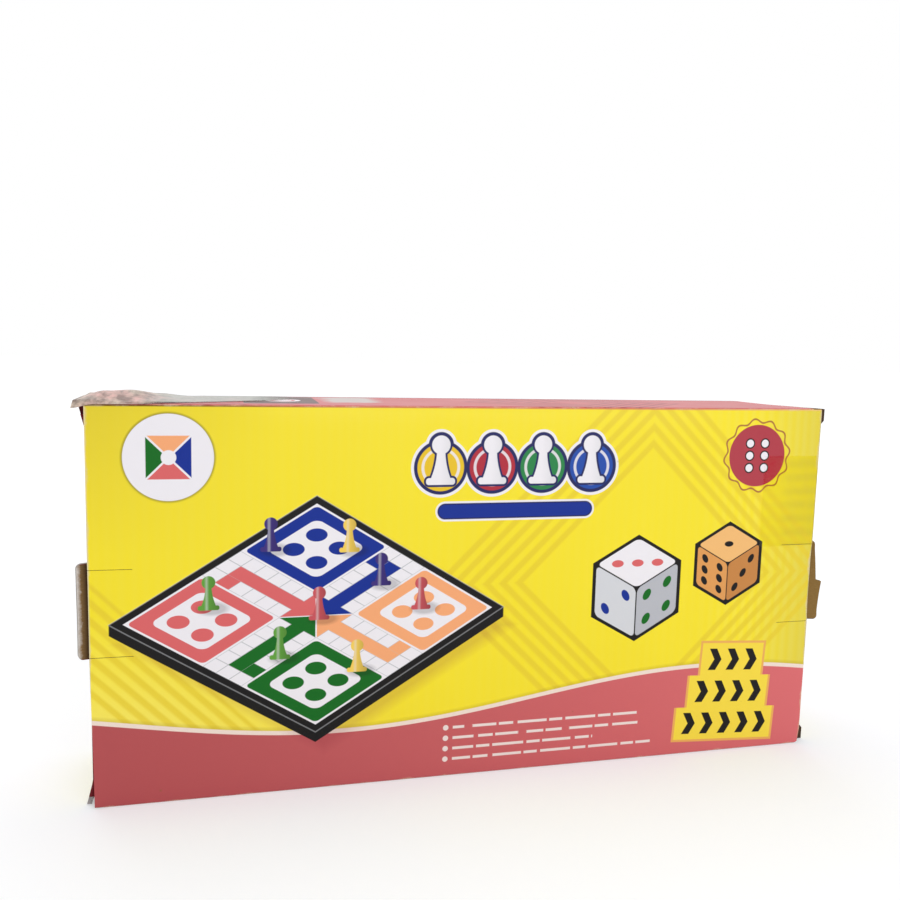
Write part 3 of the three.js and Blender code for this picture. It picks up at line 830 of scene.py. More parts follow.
def top_print():
    """Top: crimson with nested diamonds in a darker crimson, a dark patch with a white disc on the
    left, a scuffed grey patch beside it, and ink rubbed grey along the rear crease."""
    paint = new_paint("printed_top")
    point = paint.flat("X", "Y")
    colour = crimson_ground(paint, point)
    for centre in ((40.0, 0.0), (-104.0, 0.0)):
        colour = paint_nested(paint, colour, point, centre, 8.0, 44.0, ink=CRIMSON_DARK)
    colour = paint.over(colour, paint.box(point, (-70.0, 1.5), 12.5, 17.0, 2.0), rgb(76, 34, 34))
    disc = paint.disc(point, (-69.0, 0.0), 6.2)
    colour = paint.over(colour, disc, PAPER_WHITE)
    colour = paint.over(colour, abs(disc + 2.4) - 0.6, CRIMSON)
    scuffed = paint.box(point, (-45.0, 4.0), 9.0, 13.0, 5.0) + paint.noise(point, 0.2) * 6.0
    colour = paint.over(colour, scuffed - 3.0, rgb(198, 202, 198), 5.0, share=0.8)
    _, y, _ = paint.split(point)
    depth = HALF_DEPTH / MM
    colour = paint.over(colour, depth - 3.2 - y, rgb(118, 106, 102), 1.5, share=0.8)
    return coated(paint, colour, point, SIDE_END / MM, -depth, depth)


def bottom_print():
    """Bottom: crimson with a bare white patch."""
    paint = new_paint("printed_bottom")
    point = paint.flat("X", "-Y")
    colour = crimson_ground(paint, point)
    colour = paint.over(colour, paint.box(point, (88.0, 0.0), 22.0, 13.0, 1.0), PAPER_WHITE)
    depth = HALF_DEPTH / MM
    return coated(paint, colour, point, SIDE_END / MM, -depth, depth)


def end_print(word, right):
    """Ends: crimson with a yellow foot, a label above and a token below."""
    paint = new_paint(f"printed_{word}_end")
    point = paint.flat(right, "Z")
    colour = crimson_ground(paint, point)
    _, up, _ = paint.split(point)
    colour = paint.over(colour, up - 24.7, PIN_LINE)
    colour = paint.over(colour, up - 23.3, YELLOW)
    colour = paint_label(paint, colour, point, (0.0, 98.0), 12.6)
    colour = paint_tokens(paint, colour, point, (0.0, 42.0), 18.0, TOKEN_INKS[:1])
    return coated(paint, colour, point, HALF_DEPTH / MM, 0.0, HEIGHT / MM)


def dust_print():
    """Dust flaps are printed plain crimson."""
    paint = new_paint("printed_dust_flaps")
    point = paint.place()
    roughness = paint.noise(point, 0.2) * 0.15 + 0.4
    return paint.finish(crimson_ground(paint, point), roughness, coat=0.5, coat_roughness=0.2)


def kraft(paint, *place):
    """Brown kraft and its fibres, from a place stretched along them."""
    fibres = paint.noise(paint.join(*place), 1.6, 4.0, 0.7)
    return paint.mix((fibres * 2.2 - 0.6).clamp(), KRAFT_DARK, KRAFT), fibres


def kraft_liner():
    """Bare kraft liner: long brown fibres, pale and dark flecks, faint lines over the flutes."""
    paint = new_paint("kraft_liner")
    point = paint.place()
    x, y, z = paint.split(point)
    colour, fibres = kraft(paint, x * 0.35, y * 0.35, z * 2.4)
    cloud = paint.noise(point, 0.12, 3.0)
    colour = paint.mix((cloud - 0.4).clamp() * 1.2, colour, rgb(186, 154, 112))
    lines = wave(z, FLUTE_MM) * 0.5 + 0.5
    colour = paint.mix(lines * 0.12, colour, KRAFT_DARK)
    normal = paint.bump(fibres, 0.05, 0.7)
    normal = paint.bump(lines, 0.05, 0.4, normal)
    return paint.finish(colour, 0.86, normal, specular=0.2)


def cut_edge(name, at_corner):
    """Cut edge of the board: a liner on each side and a waved flute paper between them, with painted
    shade in the hollows behind. The cut map gives the way along the cut in millimetres and the share
    of the thickness. On the end closures the cut edges at the lock tab are pale on the left and brown
    on the right, and the front corners carry painted shade, dark maroon on the left and dark brown on
    the right, with pale grey low down on the left."""
    paint = new_paint(name)
    along, across, _ = paint.split(paint.node("ShaderNodeUVMap", {"uv_map": "cut"}))
    flute = wave(along, FLUTE_MM) * 0.3 + 0.5
    liner = 0.34 - abs(across - 0.5)
    shown = paint.inside((abs(across - flute) - 0.1).least(liner), 0.08)
    paper = paint.mix(paint.noise(paint.place(), 2.0, 3.0), rgb(150, 118, 78), rgb(196, 168, 126))
    # The hollows between the papers, painted dark as shade.
    colour = paint.mix(shown, rgb(66, 48, 30), paper)
    if at_corner:
        x, y, z = paint.split(paint.place())
        beside_tab = beside(z, TAB_LOW, TAB_HIGH) - 1.0
        front_y, end_x = -17.5, 129.5
        corner = (y - front_y).most(end_x - abs(x))
        rim = paint.mix(x > 0.0, PALE_PAPER, rgb(142, 112, 62))
        colour = paint.over(colour, corner.most(beside_tab), rim, 0.6, share=0.7)
        # Front corners: painted shade, dark maroon on the left with pale grey low down, dark brown on
        # the right.
        left_tip = paint.mix((z - 12.0).clamp(), rgb(176, 170, 170), rgb(98, 26, 32))
        shaded_tip = paint.mix(x > 0.0, left_tip, RIGHT_TIP_SHADED_BROWN)
        colour = paint.over(colour, corner.most(-beside_tab), shaded_tip, 0.6)
    return paint.finish(colour, 0.9, paint.bump(shown, 0.3, 0.8), specular=0.15)


def tongue_face():
    """Kraft tongue, painted dark round its crease outside the lock tab as shade: shaded crimson print
    on the left, shaded brown on the right. The left lock tab darkens towards its root as painted
    shadow, and its rim shows pale paper with a ragged edge; the right one is brown all over."""
    paint = new_paint("tongue_kraft")
    point = paint.place()
    x, _, z = paint.split(point)
    colour, fibres = kraft(paint, x * 0.35, z * 2.4)
    out = abs(x) - FLAP_X / MM
    beside_tab = beside(z, TAB_LOW, TAB_HIGH)
    is_right = x > 0.0
    root_end, rim_start = 3.9, 4.5
    on_tab = paint.inside(-0.6 - out, 0.5) * paint.inside(beside_tab, 0.5)
    # Painted shadow: the left tab darkens towards its root at the carton's edge; the right one takes
    # an even brown.
    near_root = ((root_end - out) * 0.4).clamp().most(is_right * 0.75)
    root = paint.mix(is_right, rgb(62, 40, 12), rgb(132, 102, 46))
    colour = paint.mix(on_tab * near_root * 0.85, colour, root)
    ragged = paint.noise(point, 0.5, 4.0, 0.7) * 2.2
    pale = paint.inside(rim_start - out - ragged, 1.2) * (1.0 - is_right)
    colour = paint.mix(pale, colour, PALE_PAPER)
    # Round the crease outside the tab: painted shade, shaded crimson on the left, shaded brown on the
    # right.
    shaded_tip = paint.mix(is_right, LEFT_TIP_SHADED_CRIMSON, RIGHT_TIP_SHADED_BROWN)
    colour = paint.over(colour, (-1.6 - out).most(-0.2 - beside_tab), shaded_tip)
    return paint.finish(colour, 0.85, paint.bump(fibres, 0.06, 0.7), specular=0.2)


# Mesh making


def grid_faces(rows, columns, keep=None):
    """Quads of a grid of points, row by row; keep says which cells stay."""
    row, column = np.meshgrid(np.arange(rows - 1), np.arange(columns - 1), indexing="ij")
    first = row * columns + column
    quads = np.stack([first, first + 1, first + columns + 1, first + columns], -1)
    return quads[keep] if keep is not None else quads.reshape(-1, 4)


def open_edges(quads):
    """Directed edges that only one quad has, in that quad's own direction."""
    starts = quads.reshape(-1).astype(np.int64)
    ends = np.roll(quads, -1, axis=1).reshape(-1).astype(np.int64)
    size = int(quads.max()) + 1
    alone = ~np.isin(starts * size + ends, ends * size + starts)
    return np.stack([starts[alone], ends[alone]], 1)


def new_piece(name, points, faces, body, materials, replaced=(), slots=None, cut=None):
    """Puts points and quads into a mesh and lets it ride on its body. Points in one place become one,
    quads that this closes to a triangle or a line are mended or dropped, and the whole is turned
    right side out."""
    slots = np.zeros(len(faces)) if slots is None else slots
    rounded = np.round(points, 8) + 0.0
    _, first, same = np.unique(rounded, axis=0, return_index=True, return_inverse=True)
    points, faces = points[first], same.reshape(-1)[faces]
    volume = sum(
        np.einsum("fi,fi->", points[faces[:, 0]], np.cross(points[faces[:, a]], points[faces[:, b]]))
        for a, b in ((1, 2), (2, 3))
    )
    if volume < 0:
        faces = faces[:, ::-1]
        cut = None if cut is None else cut[:, ::-1]
    real = faces != np.roll(faces, -1, axis=1)
    whole = real.sum(1) >= 3
    faces, real, slots = faces[whole], real[whole], slots[whole]
    counts = real.sum(1)
    mesh = bpy.data.meshes.new(name)
    used, loops = np.unique(faces[real], return_inverse=True)
    mesh.vertices.add(len(used))
    mesh.vertices.foreach_set("co", points[used].astype(np.float32).reshape(-1))
    mesh.loops.add(len(loops))
    mesh.loops.foreach_set("vertex_index", loops.reshape(-1).astype(np.int32))
    mesh.polygons.add(len(counts))
    mesh.polygons.foreach_set("loop_start", (np.cumsum(counts) - counts).astype(np.int32))
    for material in materials:
        mesh.materials.append(material)
    mesh.polygons.foreach_set("material_index", slots.astype(np.int32))
    mesh.polygons.foreach_set("use_smooth", np.ones(len(counts), bool))
    if cut is not None:
        layer = mesh.uv_layers.new(name="cut")
        layer.data.foreach_set("uv", cut[whole][real].reshape(-1).astype(np.float32))
    mesh.update(calc_edges=True)
    mesh.set_sharp_from_angle(angle=math.radians(SHARP_DEGREES))
    piece = bpy.data.objects.new(name, mesh)
    bpy.context.scene.collection.objects.link(piece)
    if replaced:
        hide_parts(*replaced)
    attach(piece, body)
    return piece


def board_piece(name, body, replaced, outer, inner, face, keep=None, tips=0.0, edge=None):
    """A closed sheet of board between an outer and an inner grid of points. It has its face material
    outside, kraft inside and flutes on every cut edge, or is plain, if it has an edge material."""
    rows, columns, _ = outer.shape
    count = rows * columns
    points = np.concatenate([outer.reshape(-1, 3), inner.reshape(-1, 3)])
    front = grid_faces(rows, columns, keep)
    back = front[:, ::-1] + count
    edges = open_edges(front)
    rim = np.stack([edges[:, 1], edges[:, 0], edges[:, 0] + count, edges[:, 1] + count], 1)
    slots = np.repeat([0, 1, 2], [len(front), len(back), len(rim)])
    starts, ends = points[edges[:, 0]], points[edges[:, 1]]
    main = np.argmax(np.abs(ends - starts), axis=1)[:, None]
    along = [np.take_along_axis(way, main, 1)[:, 0] / MM for way in (ends, starts)]
    cut = np.zeros((len(front) + len(back) + len(rim), 4, 2))
    cut[-len(rim) :, :, 0] = np.stack([along[0], along[1], along[1], along[0]], 1)
    cut[-len(rim) :, :, 1] = (0.0, 0.0, 1.0, 1.0)
    materials = [face, face, edge] if edge else [face, LINER, CLOSURE_EDGE if tips else EDGE]
    faces = np.concatenate([front, back, rim])
    return new_piece(name, worn(points, tips), faces, body, materials, replaced, slots, cut)


def smooth(value, low, high):
    """0 below low, 1 above high, and a smooth step between."""
    share = np.clip((value - low) / (high - low), 0.0, 1.0)
    return share * share * (3 - 2 * share)


def worn(points, tips):
    """Handling wear, as a smooth shift of every point of the carton: the rear right of the top is
    pressed down, the left end of the top stands up a little, the front bows out by a hair and is
    pushed in between its slits. On the end closures the front corners stand proud of the front
    panel's ends, by the share tips."""
    x, y, z = points.T
    high = z / HEIGHT
    rear = smooth(y, BEHIND_FRONT, HALF_DEPTH)
    front = 1 - smooth(y, -HALF_DEPTH, BEHIND_FRONT)
    pressed = PRESSED * smooth(x, PRESSED_FROM, HALF_LENGTH) * rear * smooth(high, 0.55, 1.0)
    left = smooth(-x, *LIFT_RISES) * (1 - smooth(-x, *LIFT_FALLS)) * smooth(high, 0.9, 1.0)
    lifted = LIFTED * left * np.sin(rear * math.pi) ** 0.7
    crumpled = CRUMPLED * np.sin(x / CRUMPLE_WIDTH) * left * rear
    bow = BOW * (1 - (x / HALF_LENGTH) ** 2) * (1 - (2 * high - 1) ** 2)
    between = smooth(z, TAB_LOW, TAB_LOW + PUSH_FADE) * (1 - smooth(z, TAB_HIGH - PUSH_FADE, TAB_HIGH))
    pushed = PUSHED * between * smooth(np.abs(x), HALF_LENGTH - SLIT_DEPTH, HALF_LENGTH)
    moved_x = x
    if tips > 0:
        from_middle = np.abs(z - MID_HEIGHT) - MID_HEIGHT
        taper = np.clip((from_middle + LEFT_TIP_TALL) / LEFT_TIP_TALL, 0, 1)
        block = smooth(from_middle, -RIGHT_TIP_TALL - TIP_STEP, -RIGHT_TIP_TALL)
        out = tips * np.where(x < 0, -LEFT_TIP_OUT * taper, RIGHT_TIP_OUT * block)
        forward = 1 - smooth(y, TIP_FULL_Y, TIP_END_Y)
        moved_x = x + out * forward * smooth(np.abs(x), TIP_ROOT_X, FLAP_X - HALF_BOARD)
    return np.stack([moved_x, y + (pushed - bow) * front, z - pressed + lifted + crumpled], 1)


# Carton


def panel_section(half, steps=6, between=24):
    """Outer surface of a panel across its length, from the middle: half an arc of crease, a straight
    stretch and half an arc. Gives the place along and outwards, and the outward normal."""
    straight = half - CREASE_RADIUS
    angles = np.linspace(math.pi / 4, 0, steps)
    low = np.stack([-straight - CREASE_RADIUS * np.sin(angles), CREASE_RADIUS * (np.cos(angles) - 1)])
    low_normal = np.stack([-np.sin(angles), np.cos(angles)])
    flat = np.linspace(-straight, straight, between)[1:-1]
    middle = np.stack([flat, 0 * flat])
    middle_normal = np.stack([0 * flat, 1 + 0 * flat])
    mirror = np.array([[-1.0], [1.0]])
    place = np.concatenate([low, middle, (low * mirror)[:, ::-1]], 1)
    normal = np.concatenate([low_normal, middle_normal, (low_normal * mirror)[:, ::-1]], 1)
    return place, normal


def wrap_panel(word, kind, face, half, end, to_world, stations=(), rows=(), keep=None):
    """A body panel of the carton: its section carried along the carton's length. stations and rows
    are further grid lines, which slits need."""
    place, normal = panel_section(half)
    extra = np.array(rows)
    place = np.concatenate([place, [extra, 0 * extra]], 1)
    normal = np.concatenate([normal, [0 * extra, 1 + 0 * extra]], 1)
    order = np.argsort(place[0])
    place, normal = place[:, order, None], normal[:, order, None]
    x = np.unique(np.concatenate([np.linspace(-end, end, 89), stations]))
    across = x + 0 * place[0]
    outer = to_world(across, place[0] + 0 * x, place[1] + 0 * x)
    below = place - BOARD * normal
    inner = to_world(across, below[0] + 0 * x, below[1] + 0 * x)
    cells = keep(x, place[0][:, 0]) if keep else None
    name, node = f"{word}_print_sheet", f"{word}_panel"
    return board_piece(name, "carton", [node], outer, inner, face, cells)


def add_panels():
    """Front, back, top and bottom panels. The front is slit beside each lock tab."""
    slit_start = HALF_LENGTH - SLIT_DEPTH
    slits = LEFT_SLITS + RIGHT_SLITS
    slit_rows = [edge + side * SLIT_WIDTH / 2 - MID_HEIGHT for edge in slits for side in (-1, 1)]

    def outside_slits(x, along):
        station = (x[1:] + x[:-1]) / 2
        height = (along[1:] + along[:-1]) / 2 + MID_HEIGHT
        cut = np.zeros((len(height), len(station)), bool)
        for side, edges in ((-1, LEFT_SLITS), (1, RIGHT_SLITS)):
            in_slit = np.abs(height[:, None] - np.array(edges)).min(1) < SLIT_WIDTH / 2
            cut |= in_slit[:, None] & (side * station > slit_start)[None, :]
        return ~cut

    def front_place(x, a, n):
        """The lower right corner is worn round, as a circle, and the left end's lower half is drawn
        in."""
        z = a + MID_HEIGHT
        missing = np.clip(WORN_CORNER - z, 0, WORN_CORNER)
        back = WORN_CORNER - np.sqrt(WORN_CORNER**2 - missing**2)
        worn_x = x - back * smooth(x, HALF_LENGTH - 4 * WORN_CORNER, HALF_LENGTH)
        low = 1 - smooth(z, 0, DRAWN_HEIGHT)
        worn_x = worn_x + DRAWN_IN * low * smooth(-x, HALF_LENGTH - DRAWN_LENGTH, HALF_LENGTH)
        return np.stack([worn_x, -HALF_DEPTH - n, z], -1)

    def back_place(x, a, n):
        return np.stack([x, HALF_DEPTH + n, MID_HEIGHT + a], -1)

    def top_place(x, a, n):
        return np.stack([x, a, HEIGHT + n], -1)

    def bottom_place(x, a, n):
        return np.stack([x, a, -n], -1)

    slit_ends = [-slit_start, slit_start]
    around_slits = {"stations": slit_ends, "rows": slit_rows, "keep": outside_slits}
    wrap_panel("front", "front", front_print(), MID_HEIGHT, HALF_LENGTH, front_place, **around_slits)
    longer = GAP - CLOSED_GAP
    wrap_panel("back", "back", back_print(), MID_HEIGHT, BACK_END + longer, back_place)
    wrap_panel("top", "side", top_print(), HALF_DEPTH, SIDE_END + longer, top_place)
    wrap_panel("bottom", "side", bottom_print(), HALF_DEPTH, SIDE_END + longer, bottom_place)


def round_edge(beyond):
    """Half thickness of a leaf past its crease's axis: a half circle."""
    return np.sqrt(np.clip(HALF_BOARD**2 - np.clip(beyond, 0, HALF_BOARD) ** 2, 0, None))


def leaf_piece(node, body, across, along, thickness, to_world, face, keep=None, tips=0.0):
    """The board of a creased flap: across is the way from the crease, negative past its axis, and
    along runs with the crease, both as grids. The printed face is at plus the half thickness."""
    outer = to_world(across, along, thickness)
    inner = to_world(across, along, -thickness)
    return board_piece(f"{node}_board", body, [node], outer, inner, face, keep, tips)


def crease_columns(length, count):
    """Stations from the round edge of a crease to the end of a leaf."""
    round_part = -HALF_BOARD * np.cos(np.linspace(0, math.pi / 2, 6))
    return np.concatenate([round_part[:-1], np.linspace(0, length, count)])


def add_end_flap(word, side):
    """End flap: hinged at the back, with a notch in its front edge where the lock tab was cut out."""
    leaf = FLAP_Y - (TONGUE_Y + HALF_BOARD + CLOSED_GAP)
    notch_start = FLAP_Y - (TONGUE_Y + TAB_REACH + HALF_BOARD + 2 * GAP)
    notch_rows = [TAB_LOW - GAP, TAB_HIGH + GAP]
    columns = np.unique(np.append(crease_columns(leaf, 26), notch_start))
    rows = np.unique(np.concatenate([np.linspace(GAP, HEIGHT - GAP, 60), notch_rows]))
    across, along = np.meshgrid(columns, rows)
    row_middle = (rows[1:] + rows[:-1]) / 2
    in_rows = (row_middle > notch_rows[0]) & (row_middle < notch_rows[1])
    past = (columns[1:] + columns[:-1]) / 2 > notch_start
    leaf_piece(
        f"{word}_end_flap",
        f"{word}_flap",
        across,
        along,
        round_edge(-across),
        lambda b, a, n: np.stack([side * (FLAP_X + n), FLAP_Y - b, a], -1),
        end_print(word, "Y" if side > 0 else "-Y"),
        keep=~(in_rows[:, None] & past[None, :]),
        tips=1.0,
    )


def tab_reach(z, side):
    """How far the lock tab stands out: a little less than made on the left end, where its edge is
    crushed. On the right end it is torn across: below the tear it is pulled out, more with height,
    and above the tear it is bent back, also more with height. A circle rounds its corners."""
    low = PULLED_LOW + (PULLED_HIGH - PULLED_LOW) * (z - TAB_LOW) / (TEAR_LOW - TAB_LOW)
    high = -BENT_BACK * (z - BEND_START) / (TAB_HIGH - BEND_START)
    torn = low + (high - low) * smooth(z, TEAR_LOW, TEAR_HIGH)
    full = TAB_REACH + HALF_BOARD + (torn if side > 0 else -CRUSHED)
    past = np.clip(TAB_CORNER - np.minimum(z - TAB_LOW, TAB_HIGH - z), 0, TAB_CORNER)
    return full - (TAB_CORNER - np.sqrt(TAB_CORNER**2 - past**2))


def add_tongue(word, side):
    """Tuck tongue creased on the end flap, and its lock tab, which stands out past the crease. Beyond
    the crease's axis a row is a half circle, or the tab where the tab is."""
    step = 0.05 * MM
    tab_rows = TAB_LOW + TAB_HEIGHT * (1 - np.cos(np.linspace(0, math.pi, 40))) / 2
    tear_rows = np.linspace(TEAR_LOW, TEAR_HIGH, 4)
    lower_rows = np.linspace(TONGUE_LOW, TAB_LOW - step, 26)
    upper_rows = np.linspace(TAB_HIGH + step, TONGUE_HIGH, 26)
    rows = np.unique(np.concatenate([tab_rows, tear_rows, lower_rows, upper_rows]))
    is_tab = (rows >= TAB_LOW) & (rows <= TAB_HIGH)
    from_end = np.minimum(rows - TONGUE_LOW, TONGUE_HIGH - rows)
    corner = np.clip(TONGUE_CORNER - from_end, 0, TONGUE_CORNER)
    inward = -(TONGUE_LENGTH - corner)[:, None] * np.linspace(1, 0, 14)
    round_part = HALF_BOARD * np.sin(np.linspace(0, math.pi / 2, 6))[1:] + 0 * rows[:, None]
    reach = np.where(is_tab, tab_reach(np.clip(rows, TAB_LOW, TAB_HIGH), side), HALF_BOARD)
    tab = HALF_BOARD + (reach - HALF_BOARD)[:, None] * np.linspace(0, 1, 8)[1:]
    beyond = np.concatenate([inward, round_part, tab], 1)
    is_tab_column = np.arange(beyond.shape[1] - 1) >= inward.shape[1] + round_part.shape[1] - 1
    out_x, out_y = math.cos(TONGUE_LEAN), -math.sin(TONGUE_LEAN)

    def to_world(b, a, n):
        curl = CURLED * smooth(b, HALF_BOARD, TAB_REACH) * np.sin((a - TAB_LOW) / TAB_HEIGHT * 5)
        x = FLAP_X + b * out_x + n * out_y
        y = TONGUE_Y + b * out_y - n * out_x + curl
        return np.stack([side * x, y, a], -1)

    leaf_piece(
        f"{word}_tuck_tongue",
        f"{word}_tongue",
        beyond,
        rows[:, None] + 0 * beyond,
        np.where(is_tab[:, None], HALF_BOARD, round_edge(beyond)),
        to_world,
        TONGUE_FACE,
        keep=(is_tab[1:] & is_tab[:-1])[:, None] | ~is_tab_column[None, :],
        tips=TONGUE_TIP_SHARE[side],
    )


def add_dust_flap(word, side, level):
    """Dust flap: a shoulder at the crease, then a leaf that tapers on the hinge side."""
    panel, sign, end = ("top", 1, HEIGHT) if level == "upper" else ("bottom", -1, 0.0)
    steps = [DUST_SHOULDER, DUST_SHOULDER + 0.05 * MM]
    columns = np.unique(np.append(crease_columns(DUST_LENGTH, 30), steps))
    low = np.where(columns <= DUST_SHOULDER, DUST_SHOULDER_Y, DUST_FRONT_Y)
    low = low + np.clip(columns - (DUST_LENGTH - DUST_CORNER), 0, None)
    high = DUST_ROOT_Y - DUST_TAPER * np.clip(columns, 0, None)
    along = low + (high - low) * np.linspace(0, 1, 16)[:, None]
    across = columns + 0 * along
    crease_z = end - sign * HALF_BOARD
    leaf_piece(
        f"{word}_{panel}_dust_flap",
        f"{word}_{level}_dust",
        across,
        along,
        round_edge(-across),
        lambda b, a, n: np.stack([side * (DUST_X + n), a, crease_z - sign * b], -1),
        DUST_PRINT,
    )


# The game inside


def moulded(name, colour, roughness=0.34, grain_mm=0.02, coat=0.0):
    """Moulded plastic: fine spark-eroded grain, a slow drift of gloss and colour."""
    paint = new_paint(name)
    point = paint.place()
    deep = tuple(channel * 0.82 for channel in colour)
    shade = paint.mix((paint.noise(point, 0.06) * 2.0 - 0.5).clamp(), deep, colour)
    normal = paint.bump(paint.noise(point, 3.0, 3.0, 0.6), grain_mm, 0.6)
    gloss = paint.noise(point, 0.15) * 0.14 + (roughness - 0.07)
    return paint.finish(shade, gloss, normal, coat=coat)


def ferrite():
    """Sintered ferrite: dark grey, matt, with pits and pale scuffs."""
    paint = new_paint("ferrite")
    point = paint.place()
    pits = paint.noise(point, 1.8, 4.0, 0.75)
    colour = paint.mix((pits * 3.0 - 1.6).clamp(), rgb(52, 52, 55), rgb(96, 96, 98))
    return paint.finish(colour, pits * 0.3 + 0.45, paint.bump(pits, 0.05, 0.8), metallic=0.25)


def rolled_steel(name, roughness):
    """Rolled steel: fine streaks along the length."""
    paint = new_paint(name)
    x, y, z = paint.split(paint.place())
    streaks = paint.noise(paint.join(x * 0.05, y * 2.0, z * 2.0), 1.5, 4.0, 0.7)
    colour = paint.mix(streaks, rgb(158, 162, 168), rgb(206, 208, 212))
    normal = paint.bump(streaks, 0.01, 0.5)
    return paint.finish(colour, streaks * 0.2 + (roughness - 0.1), normal, metallic=1.0)


def play_print(half, way):
    """Half of the ludo board, from its middle line at the case's hinge to one edge."""
    paint = new_paint(f"play_print_{half}")
    point = paint.place()
    x, _, z = paint.split(point)
    cell = PLAY_HALF / MM / 7.5
    across = x * (way / cell)
    up = (CASE_TOP / MM - z) * (way / cell)
    colour = paint_ludo(paint, PAPER_WHITE, across, up, cell)
    roughness = paint.noise(point, 0.2) * 0.1 + 0.3
    return paint.finish(colour, roughness, paint.bump(paint.noise(point, 1.2), 0.01, 0.4), coat=0.4)


def folded_paper():
    """Uncoated paper with two folds, darker along them as painted shade, and a grey haze."""
    paint = new_paint("leaflet_paper")
    point = paint.place()
    x, _, _ = paint.split(point)
    fibres = paint.noise(point, 0.9, 4.0, 0.65)
    colour = paint.mix(fibres * 0.35, rgb(243, 241, 234), rgb(214, 210, 200))
    # Painted shade along the folds.
    fold = paint.inside(abs(abs(x) - 35.0) - 0.4, 1.0)
    colour = paint.mix(fold * 0.5, colour, rgb(196, 192, 182))
    normal = paint.bump(fold, 0.2, 0.5, paint.bump(fibres, 0.03, 0.5))
    return paint.finish(colour, 0.8, normal, specular=0.3)


def dress(node, material):
    """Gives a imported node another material."""
    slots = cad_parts[node].data.materials
    slots.clear()
    slots.append(material)


def arc(centre, radius, start, end, count=7):
    """Points on a circle, from one angle to another in degrees."""
    angles = np.radians(np.linspace(start, end, count))
    return np.stack([centre[0] + radius * np.cos(angles), centre[1] + radius * np.sin(angles)], 1)


def pawn_profile():
    """Radius and height of a pawn in millimetres, from the middle of the magnet's recess out over the
    foot's two round edges, up a parabola to the collar, and over the round head."""
    bore, recess = 4.7, 2.1
    base, edge = 6.0, 2.6
    neck, head = 2.1, 3.6
    head_middle = PAWN_HEIGHT / MM - head
    neck_height = head_middle - math.sqrt(head**2 - neck**2)
    climb = np.linspace(0, 1, 18)
    skirt = [neck + 2.6 * (1 - climb) ** 2, edge + 0.5 + (neck_height - 1.0 - edge) * climb]
    parts = [
        [(0.0, recess), (bore - 0.2, recess), (bore, recess - 0.2)],
        arc((bore + 0.2, 0.2), 0.2, 180, 270, 4),
        arc((base - 0.5, 0.5), 0.5, -90, 0),
        arc((base - 0.9, edge - 0.9), 0.9, 0, 80),
        np.stack(skirt, 1),
        arc((neck + 0.1, neck_height), 0.55, -80, 80),
        arc((0.0, head_middle), head, -math.degrees(math.acos(neck / head)) + 12, 90, 16),
    ]
    return np.concatenate(parts)


def add_pawns():
    """Sixteen pawns, each a profile turned about an axis along X, base towards -X."""
    radius, height = pawn_profile().T * MM
    turn = np.linspace(0, TURN, 41)
    for colour, ink in PAWN_INKS.items():
        material = moulded(f"{colour}_pawn_plastic", ink, 0.22, 0.008, 0.3)
        for number in range(1, 5):
            node = f"{colour}_pawn_{number}"
            low, high = corners(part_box(node))
            middle = (low + high) / 2
            x = low[0] + height[:, None] + 0 * turn
            y = middle[1] + radius[:, None] * np.cos(turn)
            z = middle[2] + radius[:, None] * np.sin(turn)
            points = np.stack([x, y, z], -1).reshape(-1, 3)
            faces, slot = grid_faces(*x.shape), f"{colour}_plastic"
            new_piece(f"{node}_turned", points, faces, "carton", [material], [node])
            dress(f"{node}_magnet", FERRITE)


def die_material():
    """White die plastic with black paint in its pips. The cut map gives the distance to the nearest
    pip's middle as a share of its radius."""
    paint = new_paint("die_plastic")
    share, _, _ = paint.split(paint.node("ShaderNodeUVMap", {"uv_map": "cut"}))
    colour = paint.over(rgb(238, 237, 232), share - 0.9, INK_BLACK, 0.08)
    point = paint.place()
    roughness = paint.noise(point, 0.3) * 0.1 + 0.2
    return paint.finish(colour, roughness, paint.bump(paint.noise(point, 0.8), 0.01), coat=0.3)


def add_die():
    """Die: a cube whose points are drawn in to a rounded cube, with a round dent at each pip. Faces
    on opposite sides add to seven."""
    low, high = corners(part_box("die"))
    middle, half = (low + high) / 2, (high[0] - low[0]) / 2
    corner, pip, dent = 1.7 * MM, 1.15 * MM, 0.5 * MM
    share = np.linspace(-1, 1, 65)
    u, v = np.meshgrid(share * half, share * half)
    step = 0.5 * half
    spots = {
        1: [(0, 0)],
        2: [(-1, -1), (1, 1)],
        3: [(-1, -1), (0, 0), (1, 1)],
        4: [(a, b) for a in (-1, 1) for b in (-1, 1)],
        5: [(a, b) for a in (-1, 1) for b in (-1, 1)] + [(0, 0)],
        6: [(a, b) for a in (-1, 1) for b in (-1, 0, 1)],
    }
    sides = {1: (2, 1), 6: (2, -1), 2: (1, 1), 5: (1, -1), 3: (0, 1), 4: (0, -1)}
    points, faces, cuts = [], [], []
    for number, (axis, sign) in sides.items():
        flat = np.stack([u, sign * v, 0 * u + sign * half], -1)
        away = np.min([np.hypot(u - a * step, v - b * step) for a, b in spots[number]], axis=0) / pip
        core = np.clip(flat, corner - half, half - corner)
        outwards = flat - core
        outwards = outwards / np.linalg.norm(outwards, axis=-1, keepdims=True)
        depth = dent * np.clip(1 - away**2, 0, None)
        round_cube = core + outwards * corner - np.array([0, 0, sign]) * depth[..., None]
        placed = np.roll(round_cube, axis + 1, axis=-1)
        quads = grid_faces(*u.shape)
        faces.append(quads + len(points) * u.size)
        points.append(placed.reshape(-1, 3) + middle)
        cuts.append(np.stack([away, 0 * away], -1).reshape(-1, 2)[quads])
    new_piece(
        "die_rounded",
        np.concatenate(points),
        np.concatenate(faces),
        "carton",
        [die_material()],
        ["die"],
        cut=np.concatenate(cuts),
    )


